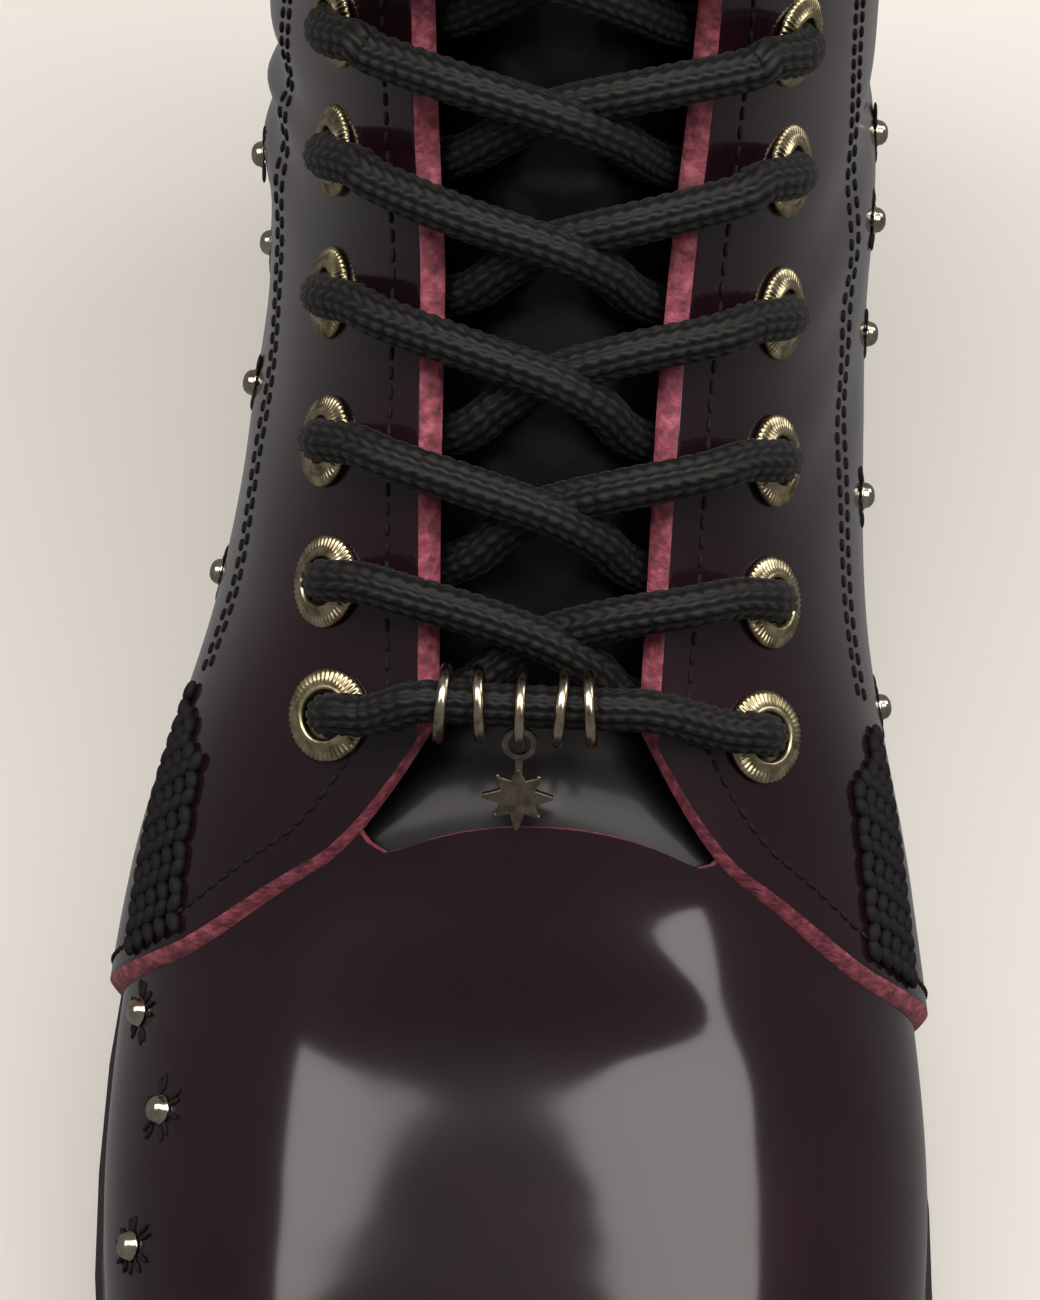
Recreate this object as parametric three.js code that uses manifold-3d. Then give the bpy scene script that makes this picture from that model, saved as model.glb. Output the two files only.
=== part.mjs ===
// Lace-up boot for the right foot: a glossy leather upper on a lugged sole, eight pairs of eyelets,
// a round lace, and five rings with a star charm on the lowest bar of the lace.
// Millimetres, +Z up, toe towards -Y, outer side of the foot towards -X, floor at zero.
import * as THREE from 'three';
import Module from 'manifold-3d';

const wasm = await Module();
wasm.setup();

// Sole
const soleLength = 284;
const ballWidth = 114;
const foreHeight = 21;
const heelHeight = 38;
const toeSpring = 9;
const midsoleThickness = 4;
const midsoleRounding = 0.25 * midsoleThickness;
const waistThickness = 9;
const lugDepth = 4;
const lugGap = 5;
const lugPitch = 15.5;
const grooveDepth = 1.2;
const edgeRounding = 1.5;
const ballFrontY = -0.19 * soleLength;
const ballBackY = -0.07 * soleLength;
const breastY = 0.22 * soleLength;

// Upper
const collarHeight = 196;
const toeMargin = 5;
const heelMargin = 2.5;
const sideMargin = 5;
const footDrop = 1.5;
const vampWall = 1.5;
const quarterStep = 2;
const quarterWall = vampWall + quarterStep;
const backstayStep = 1.2;
const backstayWidth = 20;
const insoleThickness = 3.5;
const tongueThickness = 3;
const tongueDepth = 5.6;
const tongueWidth = 52;
const clearance = 0.3;
const facetAllowance = 0.6;

// Throat, eyelets and lace; the vamp's edge lies at a section of the last
const vampEdgeSection = 4.8;
const throatWidthLow = 25;
const throatWidthHigh = 35;
const throatFlare = 5;
const eyeletSpacing = 48;
const eyeletPitch = 15.6;
const eyeletPairs = 8;
const vampToFirstEyelet = 14;
const eyeletRadius = 5.6;
const eyeletHoleRadius = 2.9;
const eyeletBarrelRadius = 3.5;
const eyeletFlange = 1.2;
const eyeletLift = 1.9 * clearance;
const eyeletSides = 10;
const laceRadius = 2.5;
const laceTurn = eyeletSpacing / 2 - 0.9 * eyeletRadius;
const barShift = 1.5;

// Rings, charm and studs
const ringWireRadius = 0.7;
const ringPlay = 0.9;
const ringRadius = laceRadius + ringPlay + ringWireRadius;
const rings = [
  { across: -11, tilt: -5 },
  { across: -6.6, tilt: 4 },
  { across: -1.8, tilt: 0 },
  { across: 2.9, tilt: -4 },
  { across: 6.3, tilt: 5 },
];
const charmRing = 2;
const charmRingDrop = 0.55;
const charmHangAngle = 20;
const charmLieAngle = 10;
const charmThickness = 1;
const starRadius = 4.2;
const starWaist = 1.9;
const starPoints = 8;
const eyeRadius = 1.75;
const eyeWireRadius = 0.4;
const neckLength = 0.3;
const neckWidth = 1.2;
const studRadius = 1.8;

// Studs in short staggered rows: the first section and side, the steps to the next, and how many
const studRows = [
  { name: 'stud_vamp', count: 4, section: 3.1, step: 0.42, side: -0.31, stagger: -0.05, wall: vampWall },
  { name: 'stud_outer', count: 4, section: 6.1, step: 0.8, side: -0.46, stagger: 0.04, wall: quarterWall },
  { name: 'stud_inner', count: 5, section: 5.7, step: 0.8, side: 0.46, stagger: -0.04, wall: quarterWall },
];

// The sole's outline, from the toe tip to the back of the heel: where along the half length, and the
// outer and inner half widths as shares of half the ball width.
const footprint = [
  { at: -1.000, lateral: 0.00, medial: 0.00 },
  { at: -0.967, lateral: 0.37, medial: 0.42 },
  { at: -0.863, lateral: 0.69, medial: 0.74 },
  { at: -0.696, lateral: 0.88, medial: 0.89 },
  { at: -0.443, lateral: 0.99, medial: 0.96 },
  { at: -0.154, lateral: 0.98, medial: 0.87 },
  { at: 0.172, lateral: 0.80, medial: 0.65 },
  { at: 0.497, lateral: 0.69, medial: 0.64 },
  { at: 0.750, lateral: 0.67, medial: 0.67 },
  { at: 0.924, lateral: 0.49, medial: 0.49 },
  { at: 1.000, lateral: 0.00, medial: 0.00 },
];

// The last's sections, which fan from the toe over the heel to the collar and a little above it.
// lean and rise lead from the section's foot to its ridge, as shares of the half length and of the
// collar's height over the ball; outer and inner are its widest half widths, widest how high they
// lie in the section, ridge how far the ridge lies inwards, power how square its shoulders are.
const sections = [
  { lean: 0.000, rise: 0.000, outer: 0.000, inner: 0.000, widest: 0.30, ridge: 0.00, power: 2.30 },
  { lean: -0.011, rise: 0.079, outer: 0.350, inner: 0.395, widest: 0.30, ridge: 0.02, power: 2.30 },
  { lean: -0.007, rise: 0.200, outer: 0.650, inner: 0.695, widest: 0.30, ridge: 0.03, power: 2.30 },
  { lean: 0.000, rise: 0.270, outer: 0.830, inner: 0.838, widest: 0.29, ridge: 0.04, power: 2.25 },
  { lean: -0.015, rise: 0.350, outer: 0.915, inner: 0.887, widest: 0.28, ridge: 0.04, power: 2.15 },
  { lean: -0.101, rise: 0.430, outer: 0.875, inner: 0.811, widest: 0.27, ridge: 0.02, power: 2.15 },
  { lean: -0.289, rise: 0.473, outer: 0.722, inner: 0.690, widest: 0.25, ridge: 0.01, power: 2.10 },
  { lean: -0.514, rise: 0.529, outer: 0.664, inner: 0.670, widest: 0.27, ridge: 0.00, power: 2.05 },
  { lean: -0.694, rise: 0.586, outer: 0.652, inner: 0.679, widest: 0.32, ridge: 0.00, power: 2.00 },
  { lean: -0.825, rise: 0.626, outer: 0.648, inner: 0.667, widest: 0.40, ridge: 0.00, power: 2.00 },
  { lean: -0.864, rise: 0.660, outer: 0.637, inner: 0.656, widest: 0.45, ridge: 0.00, power: 2.00 },
  { lean: -0.832, rise: 0.706, outer: 0.625, inner: 0.644, widest: 0.48, ridge: 0.00, power: 2.00 },
  { lean: -0.767, rise: 0.754, outer: 0.625, inner: 0.644, widest: 0.50, ridge: 0.00, power: 2.05 },
  { lean: -0.694, rise: 0.803, outer: 0.638, inner: 0.657, widest: 0.50, ridge: 0.00, power: 2.10 },
  { lean: -0.655, rise: 0.854, outer: 0.662, inner: 0.681, widest: 0.50, ridge: 0.00, power: 2.10 },
  { lean: -0.655, rise: 0.911, outer: 0.694, inner: 0.713, widest: 0.50, ridge: 0.00, power: 2.15 },
  { lean: -0.644, rise: 0.997, outer: 0.708, inner: 0.727, widest: 0.50, ridge: 0.00, power: 2.15 },
];

// The back seam over the heel, for the sections from the heel's back upwards: its place along the half
// length and its lift over the seat as a share of the collar's height over the ball.
const backSeam = [
  { at: 1.000, lift: 0.000 },
  { at: 1.011, lift: 0.149 },
  { at: 0.982, lift: 0.314 },
  { at: 0.939, lift: 0.474 },
  { at: 0.924, lift: 0.640 },
  { at: 0.946, lift: 0.851 },
  { at: 0.960, lift: 0.943 },
];

const heelSection = footprint.length - 1;
const topSection = sections.length - 1;
const collarSection = topSection - 1;
const featherHalf = (soleLength - toeMargin - heelMargin) / 2;
const featherMid = (toeMargin - heelMargin) / 2;
const shaftRise = collarHeight - foreHeight;

// Smooth reading of a table's column, with the value beyond each end mirrored (1), mirrored and
// negated (-1) or carried on (0).
function readColumn(rows, key, place, startSign, endSign) {
  const last = rows.length - 1;
  const index = Math.max(0, Math.min(Math.floor(place), last - 1));
  const share = place - index;
  const value = (k) => {
    if (k < 0) {
      return startSign ? startSign * rows[1][key] : 2 * rows[0][key] - rows[1][key];
    }
    if (k > last) {
      return endSign ? endSign * rows[last - 1][key] : 2 * rows[last][key] - rows[last - 1][key];
    }
    return rows[k][key];
  };
  const [a, b, c, d] = [-1, 0, 1, 2].map((k) => value(index + k));
  const cubic = 3 * (b - c) + d - a;
  const square = 2 * a - 5 * b + 4 * c - d;
  return b + 0.5 * share * (c - a + share * (square + share * cubic));
}

function smooth(from, to, value) {
  const share = Math.max(0, Math.min(1, (value - from) / (to - from)));
  return share * share * (3 - 2 * share);
}

// Height of the seat, the sole's top, at a place along the boot
function seat(y) {
  const toe = Math.max(0, (ballFrontY - y) / (ballFrontY + soleLength / 2));
  return foreHeight + toeSpring * toe * toe + (heelHeight - foreHeight) * smooth(ballFrontY, breastY, y);
}

// Height of the outsole's underside: toe spring, flat ball, arch and the seat of the heel block
function underside(y) {
  const toe = Math.max(0, (ballFrontY - y) / (ballFrontY + soleLength / 2));
  const heelTop = heelHeight - midsoleThickness - clearance - waistThickness;
  return toeSpring * toe * toe + heelTop * smooth(ballBackY, breastY, y);
}

function footprintAt(t) {
  return {
    at: readColumn(footprint, 'at', t, 1, 1),
    lateral: Math.max(0, readColumn(footprint, 'lateral', t, -1, -1)),
    medial: Math.max(0, readColumn(footprint, 'medial', t, -1, -1)),
  };
}

// Everything that a section of the last needs, in millimetres
function sectionAt(t) {
  const foot = footprintAt(Math.min(t, heelSection));
  const half = ballWidth / 2;
  const base = half - sideMargin;
  const onSeam = Math.max(0, t - heelSection);
  const at = onSeam ? readColumn(backSeam, 'at', onSeam, 1, 0) : foot.at;
  const lift = onSeam ? readColumn(backSeam, 'lift', onSeam, 1, 0) * shaftRise : 0;
  const backY = featherMid + featherHalf * at;
  const floor = seat(backY) - footDrop;
  return {
    back: new THREE.Vector3(0, backY, floor + lift),
    front: new THREE.Vector3(
      0,
      backY + featherHalf * readColumn(sections, 'lean', t, -1, 0),
      floor + shaftRise * readColumn(sections, 'rise', t, -1, 0),
    ),
    base: { lateral: base * foot.lateral, medial: base * foot.medial },
    wide: {
      lateral: half * readColumn(sections, 'outer', t, -1, 0),
      medial: half * readColumn(sections, 'inner', t, -1, 0),
    },
    widest: readColumn(sections, 'widest', t, 1, 0),
    ridge: half * readColumn(sections, 'ridge', t, -1, 0),
    power: readColumn(sections, 'power', t, 1, 0),
  };
}

// A point of the last: t counts the sections, side runs from -1 at the outer foot of the section
// over 0 on its ridge to 1 at its inner foot.
function lastPoint(t, side) {
  const section = sectionAt(t);
  const hand = side < 0 ? -1 : 1;
  const wide = side < 0 ? section.wide.lateral : section.wide.medial;
  const base = side < 0 ? section.base.lateral : section.base.medial;
  const turn = Math.min(1, Math.abs(side)) * Math.PI;
  const exponent = 2 / section.power;
  let x;
  let up;
  if (turn <= Math.PI / 2) {
    x = section.ridge + hand * (wide - hand * section.ridge) * Math.sin(turn) ** exponent;
    up = section.widest + (1 - section.widest) * Math.max(0, Math.cos(turn)) ** exponent;
  } else {
    x = hand * (base + (wide - base) * Math.sin(turn));
    up = section.widest * (1 + Math.cos(turn));
  }
  const point = section.back.clone().lerp(section.front, up);
  point.x = Math.abs(side) >= 1 && t >= heelSection ? 0 : x;
  return point;
}

// The last's outward direction
function lastNormal(t, side) {
  const step = 0.01;
  const place = Math.max(t, 0.05);
  const t0 = Math.max(0, place - step);
  const t1 = Math.min(topSection, place + step);
  const s0 = Math.max(-1, side - step);
  const s1 = Math.min(1, side + step);
  const alongT = lastPoint(t1, side).sub(lastPoint(t0, side));
  const alongSide = lastPoint(place, s1).sub(lastPoint(place, s0));
  const normal = alongSide.cross(alongT);
  if (Math.abs(side) >= 1 && t >= heelSection) {
    normal.x = 0;
  }
  return normal.normalize();
}

function shellPoint(t, side, offset) {
  if (t <= 0) {
    return lastPoint(0, 0).add(new THREE.Vector3(0, -offset, 0));
  }
  return lastPoint(t, side).addScaledVector(lastNormal(t, side), offset);
}

// Where on a section's side a point lies that is a given way across from the ridge
function sideAcross(t, across) {
  const section = sectionAt(t);
  const wide = across < 0 ? section.wide.lateral + section.ridge : section.wide.medial - section.ridge;
  const share = Math.min(1, Math.abs(across) / wide);
  return Math.sign(across) * Math.asin(share ** (section.power / 2)) / Math.PI;
}

// Solids from loose points, with equal points joined and collapsed triangles left out
function solidFrom(points, triangles) {
  const lookup = new Map();
  const vertProperties = [];
  const joined = points.map((point) => {
    const key = point.toArray().map((value) => Math.round(value * 1e4)).join();
    if (!lookup.has(key)) {
      lookup.set(key, lookup.size);
      vertProperties.push(point.x, point.y, point.z);
    }
    return lookup.get(key);
  });
  const faces = triangles
    .map((triangle) => triangle.map((corner) => joined[corner]))
    .filter(([a, b, c]) => a !== b && b !== c && c !== a);
  const corner = (index) => new THREE.Vector3().fromArray(vertProperties, 3 * index);
  const volume = faces.reduce((sum, [a, b, c]) => sum + corner(a).dot(corner(b).cross(corner(c))), 0);
  const triVerts = volume < 0 ? faces.flatMap(([a, b, c]) => [a, c, b]) : faces.flat();
  return new wasm.Manifold(new wasm.Mesh({
    numProp: 3,
    vertProperties: new Float32Array(vertProperties),
    triVerts: new Uint32Array(triVerts),
  }));
}

function solidFromGeometry(geometry, matrix = new THREE.Matrix4()) {
  const flat = geometry.index ? geometry.toNonIndexed() : geometry;
  const place = flat.getAttribute('position');
  const points = [];
  const triangles = [];
  for (let i = 0; i < place.count; i += 1) {
    points.push(new THREE.Vector3().fromBufferAttribute(place, i).applyMatrix4(matrix));
    if (i % 3 === 2) {
      triangles.push([i - 2, i - 1, i]);
    }
  }
  return solidFrom(points, triangles);
}

// A closed solid through rings of equally many points, with a fan over each end
function loft(rings) {
  const count = rings[0].length;
  const points = rings.flat();
  const triangles = [];
  for (let row = 0; row + 1 < rings.length; row += 1) {
    for (let i = 0; i < count; i += 1) {
      const a = row * count + i;
      const b = row * count + (i + 1) % count;
      triangles.push([a, b, b + count], [a, b + count, a + count]);
    }
  }
  [rings[0], rings[rings.length - 1]].forEach((ring, end) => {
    const centre = new THREE.Vector3();
    ring.forEach((point) => centre.addScaledVector(point, 1 / count));
    const first = end * (rings.length - 1) * count;
    for (let i = 0; i < count; i += 1) {
      const pair = [first + i, first + (i + 1) % count];
      triangles.push(end ? [pair[0], pair[1], points.length] : [pair[1], pair[0], points.length]);
    }
    points.push(centre);
  });
  return solidFrom(points, triangles);
}

// The last grown by an offset, whole, from the toe to the given section
function lastSolid(offset, endSection) {
  const rows = 23;
  const turns = 18;
  const crowding = 0.3;
  const rings = [];
  for (let row = 0; row <= rows; row += 1) {
    const share = row / rows;
    const t = endSection * share * (1 - crowding + crowding * share);
    const ring = [];
    for (let i = 0; i <= turns; i += 1) {
      ring.push(shellPoint(t, 2 * i / turns - 1, offset));
    }
    rings.push(ring);
  }
  return loft(rings);
}

// A sheet that follows the last between two offsets; place(u, v) gives its section and side
function sheet(place, low, high, rows, columns) {
  const points = [];
  const triangles = [];
  const width = columns + 1;
  const layer = (rows + 1) * width;
  [low, high].forEach((offset) => {
    for (let i = 0; i <= rows; i += 1) {
      for (let j = 0; j <= columns; j += 1) {
        const [t, side] = place(i / rows, j / columns);
        points.push(shellPoint(t, side, typeof offset === 'function' ? offset(t, side) : offset));
      }
    }
  });
  const quad = (a, b, c, d) => triangles.push([a, b, c], [a, c, d]);
  for (let i = 0; i < rows; i += 1) {
    for (let j = 0; j < columns; j += 1) {
      const a = i * width + j;
      quad(a, a + 1, a + 1 + width, a + width);
      quad(layer + a, layer + a + width, layer + a + 1 + width, layer + a + 1);
    }
  }
  for (let i = 0; i < rows; i += 1) {
    const left = i * width;
    const right = left + columns;
    quad(left, left + width, left + width + layer, left + layer);
    quad(right, right + layer, right + width + layer, right + width);
  }
  for (let j = 0; j < columns; j += 1) {
    const end = rows * width + j;
    quad(j, j + layer, j + 1 + layer, j + 1);
    quad(end, end + 1, end + 1 + layer, end + layer);
  }
  return solidFrom(points, triangles);
}

// Places on the facings: distance along the ridge from the vamp's edge, and way across from it
const ridgeStep = 0.02;
const ridge = [];
for (let t = vampEdgeSection; t <= topSection; t += ridgeStep) {
  const here = lastPoint(t, 0);
  const before = ridge.length ? ridge[ridge.length - 1] : { length: 0, point: here };
  ridge.push({ t, point: here, length: before.length + here.distanceTo(before.point) });
}

function sectionAtLength(length) {
  const next = ridge.findIndex((entry) => entry.length >= length);
  if (next < 1) {
    return length > 0 ? topSection : vampEdgeSection;
  }
  const [a, b] = [ridge[next - 1], ridge[next]];
  return a.t + (b.t - a.t) * (length - a.length) / (b.length - a.length);
}

function rowLength(row) {
  return vampToFirstEyelet + row * eyeletPitch;
}

// row counts the pairs of eyelets from 0 at the lowest
function onFacing(row, across, offset) {
  const t = sectionAtLength(rowLength(row));
  return shellPoint(t, sideAcross(t, across), offset);
}

const firstRowSection = sectionAtLength(rowLength(0));
const lastRowSection = sectionAtLength(rowLength(eyeletPairs - 1));

// Half the throat's width at a section; it flares below the lowest eyelets
function throatHalf(t) {
  const low = throatWidthLow / 2;
  const high = throatWidthHigh / 2;
  const up = (t - firstRowSection) / (lastRowSection - firstRowSection);
  const down = Math.max(0, (firstRowSection - t) / (firstRowSection - vampEdgeSection));
  return low + (high - low) * Math.max(0, up) + throatFlare * down * down;
}

// Sole pieces: rings of levels up one side, over the top and down the other side
function soleSolid(fromSection, toSection, rows, levels) {
  const rings = [];
  for (let row = 0; row <= rows; row += 1) {
    const foot = footprintAt(fromSection + (toSection - fromSection) * row / rows);
    const ring = [];
    const add = (hand, share, level) => {
      const y = foot.at * (soleLength / 2 - level.inset);
      const x = hand * share * (ballWidth / 2 - level.inset);
      ring.push(new THREE.Vector3(x, y, level.height(foot.at * soleLength / 2)));
    };
    levels.forEach((level) => add(-1, foot.lateral, level));
    [...levels].reverse().forEach((level) => add(1, foot.medial, level));
    rings.push(ring);
  }
  return loft(rings);
}

// Levels between two heights, with a rounded lower edge and two grooves round the side
function groovedLevels(low, high) {
  const between = (share) => (y) => low(y) + (high(y) - low(y)) * share;
  return [
    { inset: edgeRounding, height: between(0) },
    { inset: 0, height: between(0.12) },
    { inset: 0, height: between(0.42) },
    { inset: grooveDepth, height: between(0.47) },
    { inset: grooveDepth, height: between(0.53) },
    { inset: 0, height: between(0.58) },
    { inset: 0, height: between(0.84) },
    { inset: grooveDepth, height: between(0.9) },
    { inset: grooveDepth, height: between(1) },
  ];
}

const soleRows = 26;
const outsoleTop = (y) => seat(y) - midsoleThickness - clearance;
const heelTop = (y) => underside(y) - clearance;
const floorLevel = () => 0;

function lugGrooves(fromY, toY) {
  const grooves = [];
  for (let y = fromY; y <= toY; y += lugPitch) {
    const groove = new THREE.BoxGeometry(1.2 * ballWidth, lugGap, 2 * lugDepth);
    const place = new THREE.Matrix4().makeTranslation(0, y, y < breastY ? underside(y) : 0);
    grooves.push(solidFromGeometry(groove, place));
  }
  return wasm.Manifold.union(grooves);
}

function outsole() {
  const grooves = lugGrooves(-0.43 * soleLength, ballBackY + lugPitch);
  return soleSolid(0, heelSection, soleRows, groovedLevels(underside, outsoleTop)).subtract(grooves);
}

function heelBlock() {
  const breastRow = Math.round(0.69 * soleRows);
  const breastSection = heelSection * breastRow / soleRows;
  const rows = soleRows - breastRow;
  const grooves = lugGrooves(breastY + lugPitch, 0.46 * soleLength);
  return soleSolid(breastSection, heelSection, rows, groovedLevels(floorLevel, heelTop)).subtract(grooves);
}

function midsole() {
  return soleSolid(0, heelSection, soleRows, [
    { inset: 0, height: (y) => seat(y) - midsoleThickness },
    { inset: 0, height: (y) => seat(y) - midsoleRounding },
    { inset: midsoleRounding, height: seat },
  ]);
}

// A wide slab between two heights over the seat, whose bends lie where the midsole's do
function seatSlab(low, high) {
  const reach = ballWidth;
  const rings = [];
  const add = (y, height) => rings.push([
    new THREE.Vector3(-reach, y, height + low),
    new THREE.Vector3(-reach, y, height + high),
    new THREE.Vector3(reach, y, height + high),
    new THREE.Vector3(reach, y, height + low),
  ]);
  add(-soleLength, seat(-soleLength / 2));
  for (let row = 0; row <= soleRows; row += 1) {
    const share = footprintAt(heelSection * row / soleRows).at;
    add(share * (soleLength / 2 - midsoleRounding), seat(share * soleLength / 2));
  }
  add(soleLength, seat(soleLength / 2));
  return loft(rings);
}

function insole() {
  return lastSolid(-clearance, topSection).intersect(seatSlab(clearance, clearance + insoleThickness));
}

// A quarter of the upper: its front edge sweeps from the throat down the side, its top is the collar
function quarter(hand) {
  const front = vampEdgeSection + 0.02;
  const sweep = 0.3;
  const corner = 0.1;
  const place = (u, v) => {
    const way = v ** 1.6;
    const turned = Math.max(0, 1 - way / corner);
    const bow = sweep * Math.sin(Math.PI * Math.min(1, 2 * way));
    const curve = (firstRowSection - front) * turned * turned - bow;
    const t = front + curve + (collarSection - front - curve) * u;
    const edge = sideAcross(t, throatHalf(Math.max(t, firstRowSection)));
    return [t, hand * (edge + (1 - edge) * way)];
  };
  return sheet(place, -vampWall, quarterWall, 15, 8);
}

function backstay() {
  const place = (u, v) => {
    const t = heelSection + (collarSection - heelSection) * u;
    const wide = sectionAt(t).wide.lateral;
    const reach = Math.asin(Math.min(1, backstayWidth / 2 / wide)) / Math.PI;
    const way = (2 * v - 1) * reach;
    return [t, way <= 0 ? 1 + way : way - 1];
  };
  return sheet(place, 0.5 * vampWall, quarterWall + backstayStep, 8, 4);
}

// The opening over the tongue, from the vamp's arched edge to above the collar
function throatCut() {
  const arch = 0.09;
  const place = (u, v) => {
    const way = 2 * v - 1;
    const start = vampEdgeSection - arch * way * way;
    const t = start + (topSection - start) * u ** 1.5;
    return [t, sideAcross(t, way * throatHalf(t))];
  };
  return sheet(place, -(tongueDepth + clearance), 3 * quarterWall, 16, 4);
}

// Where an eyelet sits: its place on the facing's face and the way it points
function eyeletSeat(row, hand) {
  const t = sectionAtLength(rowLength(row));
  const side = sideAcross(t, hand * eyeletSpacing / 2);
  const matrix = new THREE.Matrix4();
  const point = shellPoint(t, side, quarterWall + eyeletLift);
  const turn = new THREE.Quaternion().setFromUnitVectors(new THREE.Vector3(0, 1, 0), lastNormal(t, side));
  return matrix.compose(point, turn, new THREE.Vector3(1, 1, 1));
}

function eyeletHoles() {
  const radius = eyeletBarrelRadius + clearance;
  const hole = new THREE.CylinderGeometry(radius, radius, 4 * quarterWall, eyeletSides);
  const holes = [];
  for (let row = 0; row < eyeletPairs; row += 1) {
    [-1, 1].forEach((hand) => holes.push(solidFromGeometry(hole, eyeletSeat(row, hand))));
  }
  return wasm.Manifold.union(holes);
}

function upper() {
  const floor = seatSlab(-2 * heelHeight, clearance);
  const hollow = lastSolid(0, topSection);
  return wasm.Manifold.union([lastSolid(vampWall, collarSection), quarter(-1), quarter(1), backstay()])
    .subtract(hollow)
    .subtract(floor)
    .subtract(throatCut())
    .subtract(eyeletHoles());
}

// The tongue starts close under the vamp and then lies deeper, to leave room for the lace
function tongue() {
  const start = vampEdgeSection - 0.4;
  const end = topSection - 0.1;
  const top = (t) => {
    const under = smooth(vampEdgeSection - 0.1, firstRowSection, t);
    return -(clearance + facetAllowance) - (tongueDepth - clearance - facetAllowance) * under;
  };
  const place = (u, v) => {
    const t = start + (end - start) * u;
    return [t, sideAcross(t, (v - 0.5) * tongueWidth)];
  };
  return sheet(place, (t) => top(t) - tongueThickness, top, 14, 4);
}

// Eyelet: a barrel through the facing with a flange on its face
function eyelet() {
  const depth = quarterWall + 2 * clearance;
  const profile = [
    [eyeletHoleRadius, -depth],
    [eyeletBarrelRadius, -depth],
    [eyeletBarrelRadius, 0],
    [eyeletRadius, 0],
    [eyeletRadius - 0.8 * eyeletFlange, eyeletFlange],
    [eyeletHoleRadius + 0.3 * eyeletFlange, eyeletFlange],
    [eyeletHoleRadius, -depth],
  ].map(([radius, height]) => new THREE.Vector2(radius, height));
  return solidFromGeometry(new THREE.LatheGeometry(profile, eyeletSides));
}

// A round cord through the given points
function cordSolid(points, steps) {
  const section = new THREE.Shape();
  section.absarc(0, 0, laceRadius, 0, 2 * Math.PI);
  const extrudePath = new THREE.CatmullRomCurve3(points, false, 'centripetal');
  return solidFromGeometry(new THREE.ExtrudeGeometry(section, { steps, curveSegments: 4, extrudePath }));
}

const overEyelet = quarterWall + eyeletLift + eyeletFlange + 2 * clearance + laceRadius;
const overFacing = quarterWall + laceRadius + 4 * clearance;
const inThroat = -tongueDepth + laceRadius + 4 * clearance;

function throatHalfAt(row) {
  return throatHalf(sectionAtLength(rowLength(row)));
}

// One strand of a crossing: from under the facing's lower edge on the other side, over the throat at
// the given height, and up over the edge to its eyelet in the next pair.
function strand(row, hand, height) {
  const low = throatHalfAt(row);
  const high = throatHalfAt(row + 1);
  const points = [
    onFacing(row + 0.14, -hand * (low - laceRadius - 3 * clearance), inThroat),
    onFacing(row + 0.32, -hand * 0.45 * low, (inThroat + height) / 2),
    onFacing(row + 0.55, 0, height),
    onFacing(row + 0.76, hand * 0.55 * high, (height + overFacing) / 2),
    onFacing(row + 0.92, hand * (high + 2 * clearance), overFacing),
    onFacing(row + 1, hand * laceTurn, overEyelet),
    onFacing(row + 1, hand * eyeletSpacing / 2, overEyelet),
  ];
  return cordSolid(points, 8);
}

// The outer side's eyelet gets the strand that lies on top
function crossing(row) {
  return strand(row, 1, inThroat + 2 * clearance).add(strand(row, -1, inThroat + 1.6 * laceRadius));
}

// The straight bar over the lowest pair of eyelets; its middle is where the rings hang
const barRow = barShift / eyeletPitch;
const barMiddle = onFacing(barRow, 0, overFacing);

function barPoint(across) {
  return new THREE.Vector3(across, barMiddle.y, barMiddle.z);
}

function laceBar() {
  const reach = eyeletSpacing / 2;
  const straight = 1.1 * throatHalfAt(0);
  return cordSolid([
    onFacing(0, -reach, overEyelet),
    onFacing(0.5 * barRow, -laceTurn, overEyelet),
    barPoint(-straight),
    barPoint(-0.5 * straight),
    barPoint(0),
    barPoint(0.5 * straight),
    barPoint(straight),
    onFacing(0.5 * barRow, laceTurn, overEyelet),
    onFacing(0, reach, overEyelet),
  ], 14);
}

// Directions on the slope under the bar: up off the leather, and down towards the toe
const slopeNormal = lastNormal(sectionAtLength(rowLength(barRow)), 0).setX(0).normalize();
const slopeDown = new THREE.Vector3(1, 0, 0).cross(slopeNormal);

function slopeDirection(degrees) {
  const angle = THREE.MathUtils.degToRad(degrees);
  return slopeDown.clone().multiplyScalar(Math.cos(angle)).addScaledVector(slopeNormal, -Math.sin(angle));
}

function ringMatrix(index) {
  const { across, tilt } = rings[index];
  const place = barPoint(across);
  if (index === charmRing) {
    place.addScaledVector(slopeDirection(charmHangAngle), charmRingDrop);
  }
  const turn = new THREE.Quaternion().setFromAxisAngle(slopeNormal, THREE.MathUtils.degToRad(tilt));
  const upright = new THREE.Quaternion().setFromAxisAngle(new THREE.Vector3(0, 1, 0), Math.PI / 2);
  return new THREE.Matrix4().compose(place, turn.multiply(upright), new THREE.Vector3(1, 1, 1));
}

// Charm: a flat star on a short neck under an eye, drawn in a plane with the eye's centre at zero
function charm() {
  const eye = solidFromGeometry(new THREE.TorusGeometry(eyeRadius, eyeWireRadius, 6, 12));
  const starCentre = -(eyeRadius + eyeWireRadius + neckLength + starRadius);
  const outline = [];
  for (let i = 0; i < 2 * starPoints; i += 1) {
    const angle = Math.PI * (i / starPoints + 0.5);
    const radius = i % 2 ? starWaist : starRadius;
    outline.push(new THREE.Vector2(radius * Math.cos(angle), starCentre + radius * Math.sin(angle)));
  }
  const flat = { depth: charmThickness, bevelEnabled: false };
  const centred = new THREE.Matrix4().makeTranslation(0, 0, -charmThickness / 2);
  const star = solidFromGeometry(new THREE.ExtrudeGeometry(new THREE.Shape(outline), flat), centred);
  const neckTop = -eyeRadius;
  const neckDepth = neckTop - starCentre - starWaist;
  const neck = new THREE.BoxGeometry(neckWidth, neckDepth, 0.8 * charmThickness);
  neck.translate(0, neckTop - neckDepth / 2, 0);
  return wasm.Manifold.union([eye, star, solidFromGeometry(neck)]);
}

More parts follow.
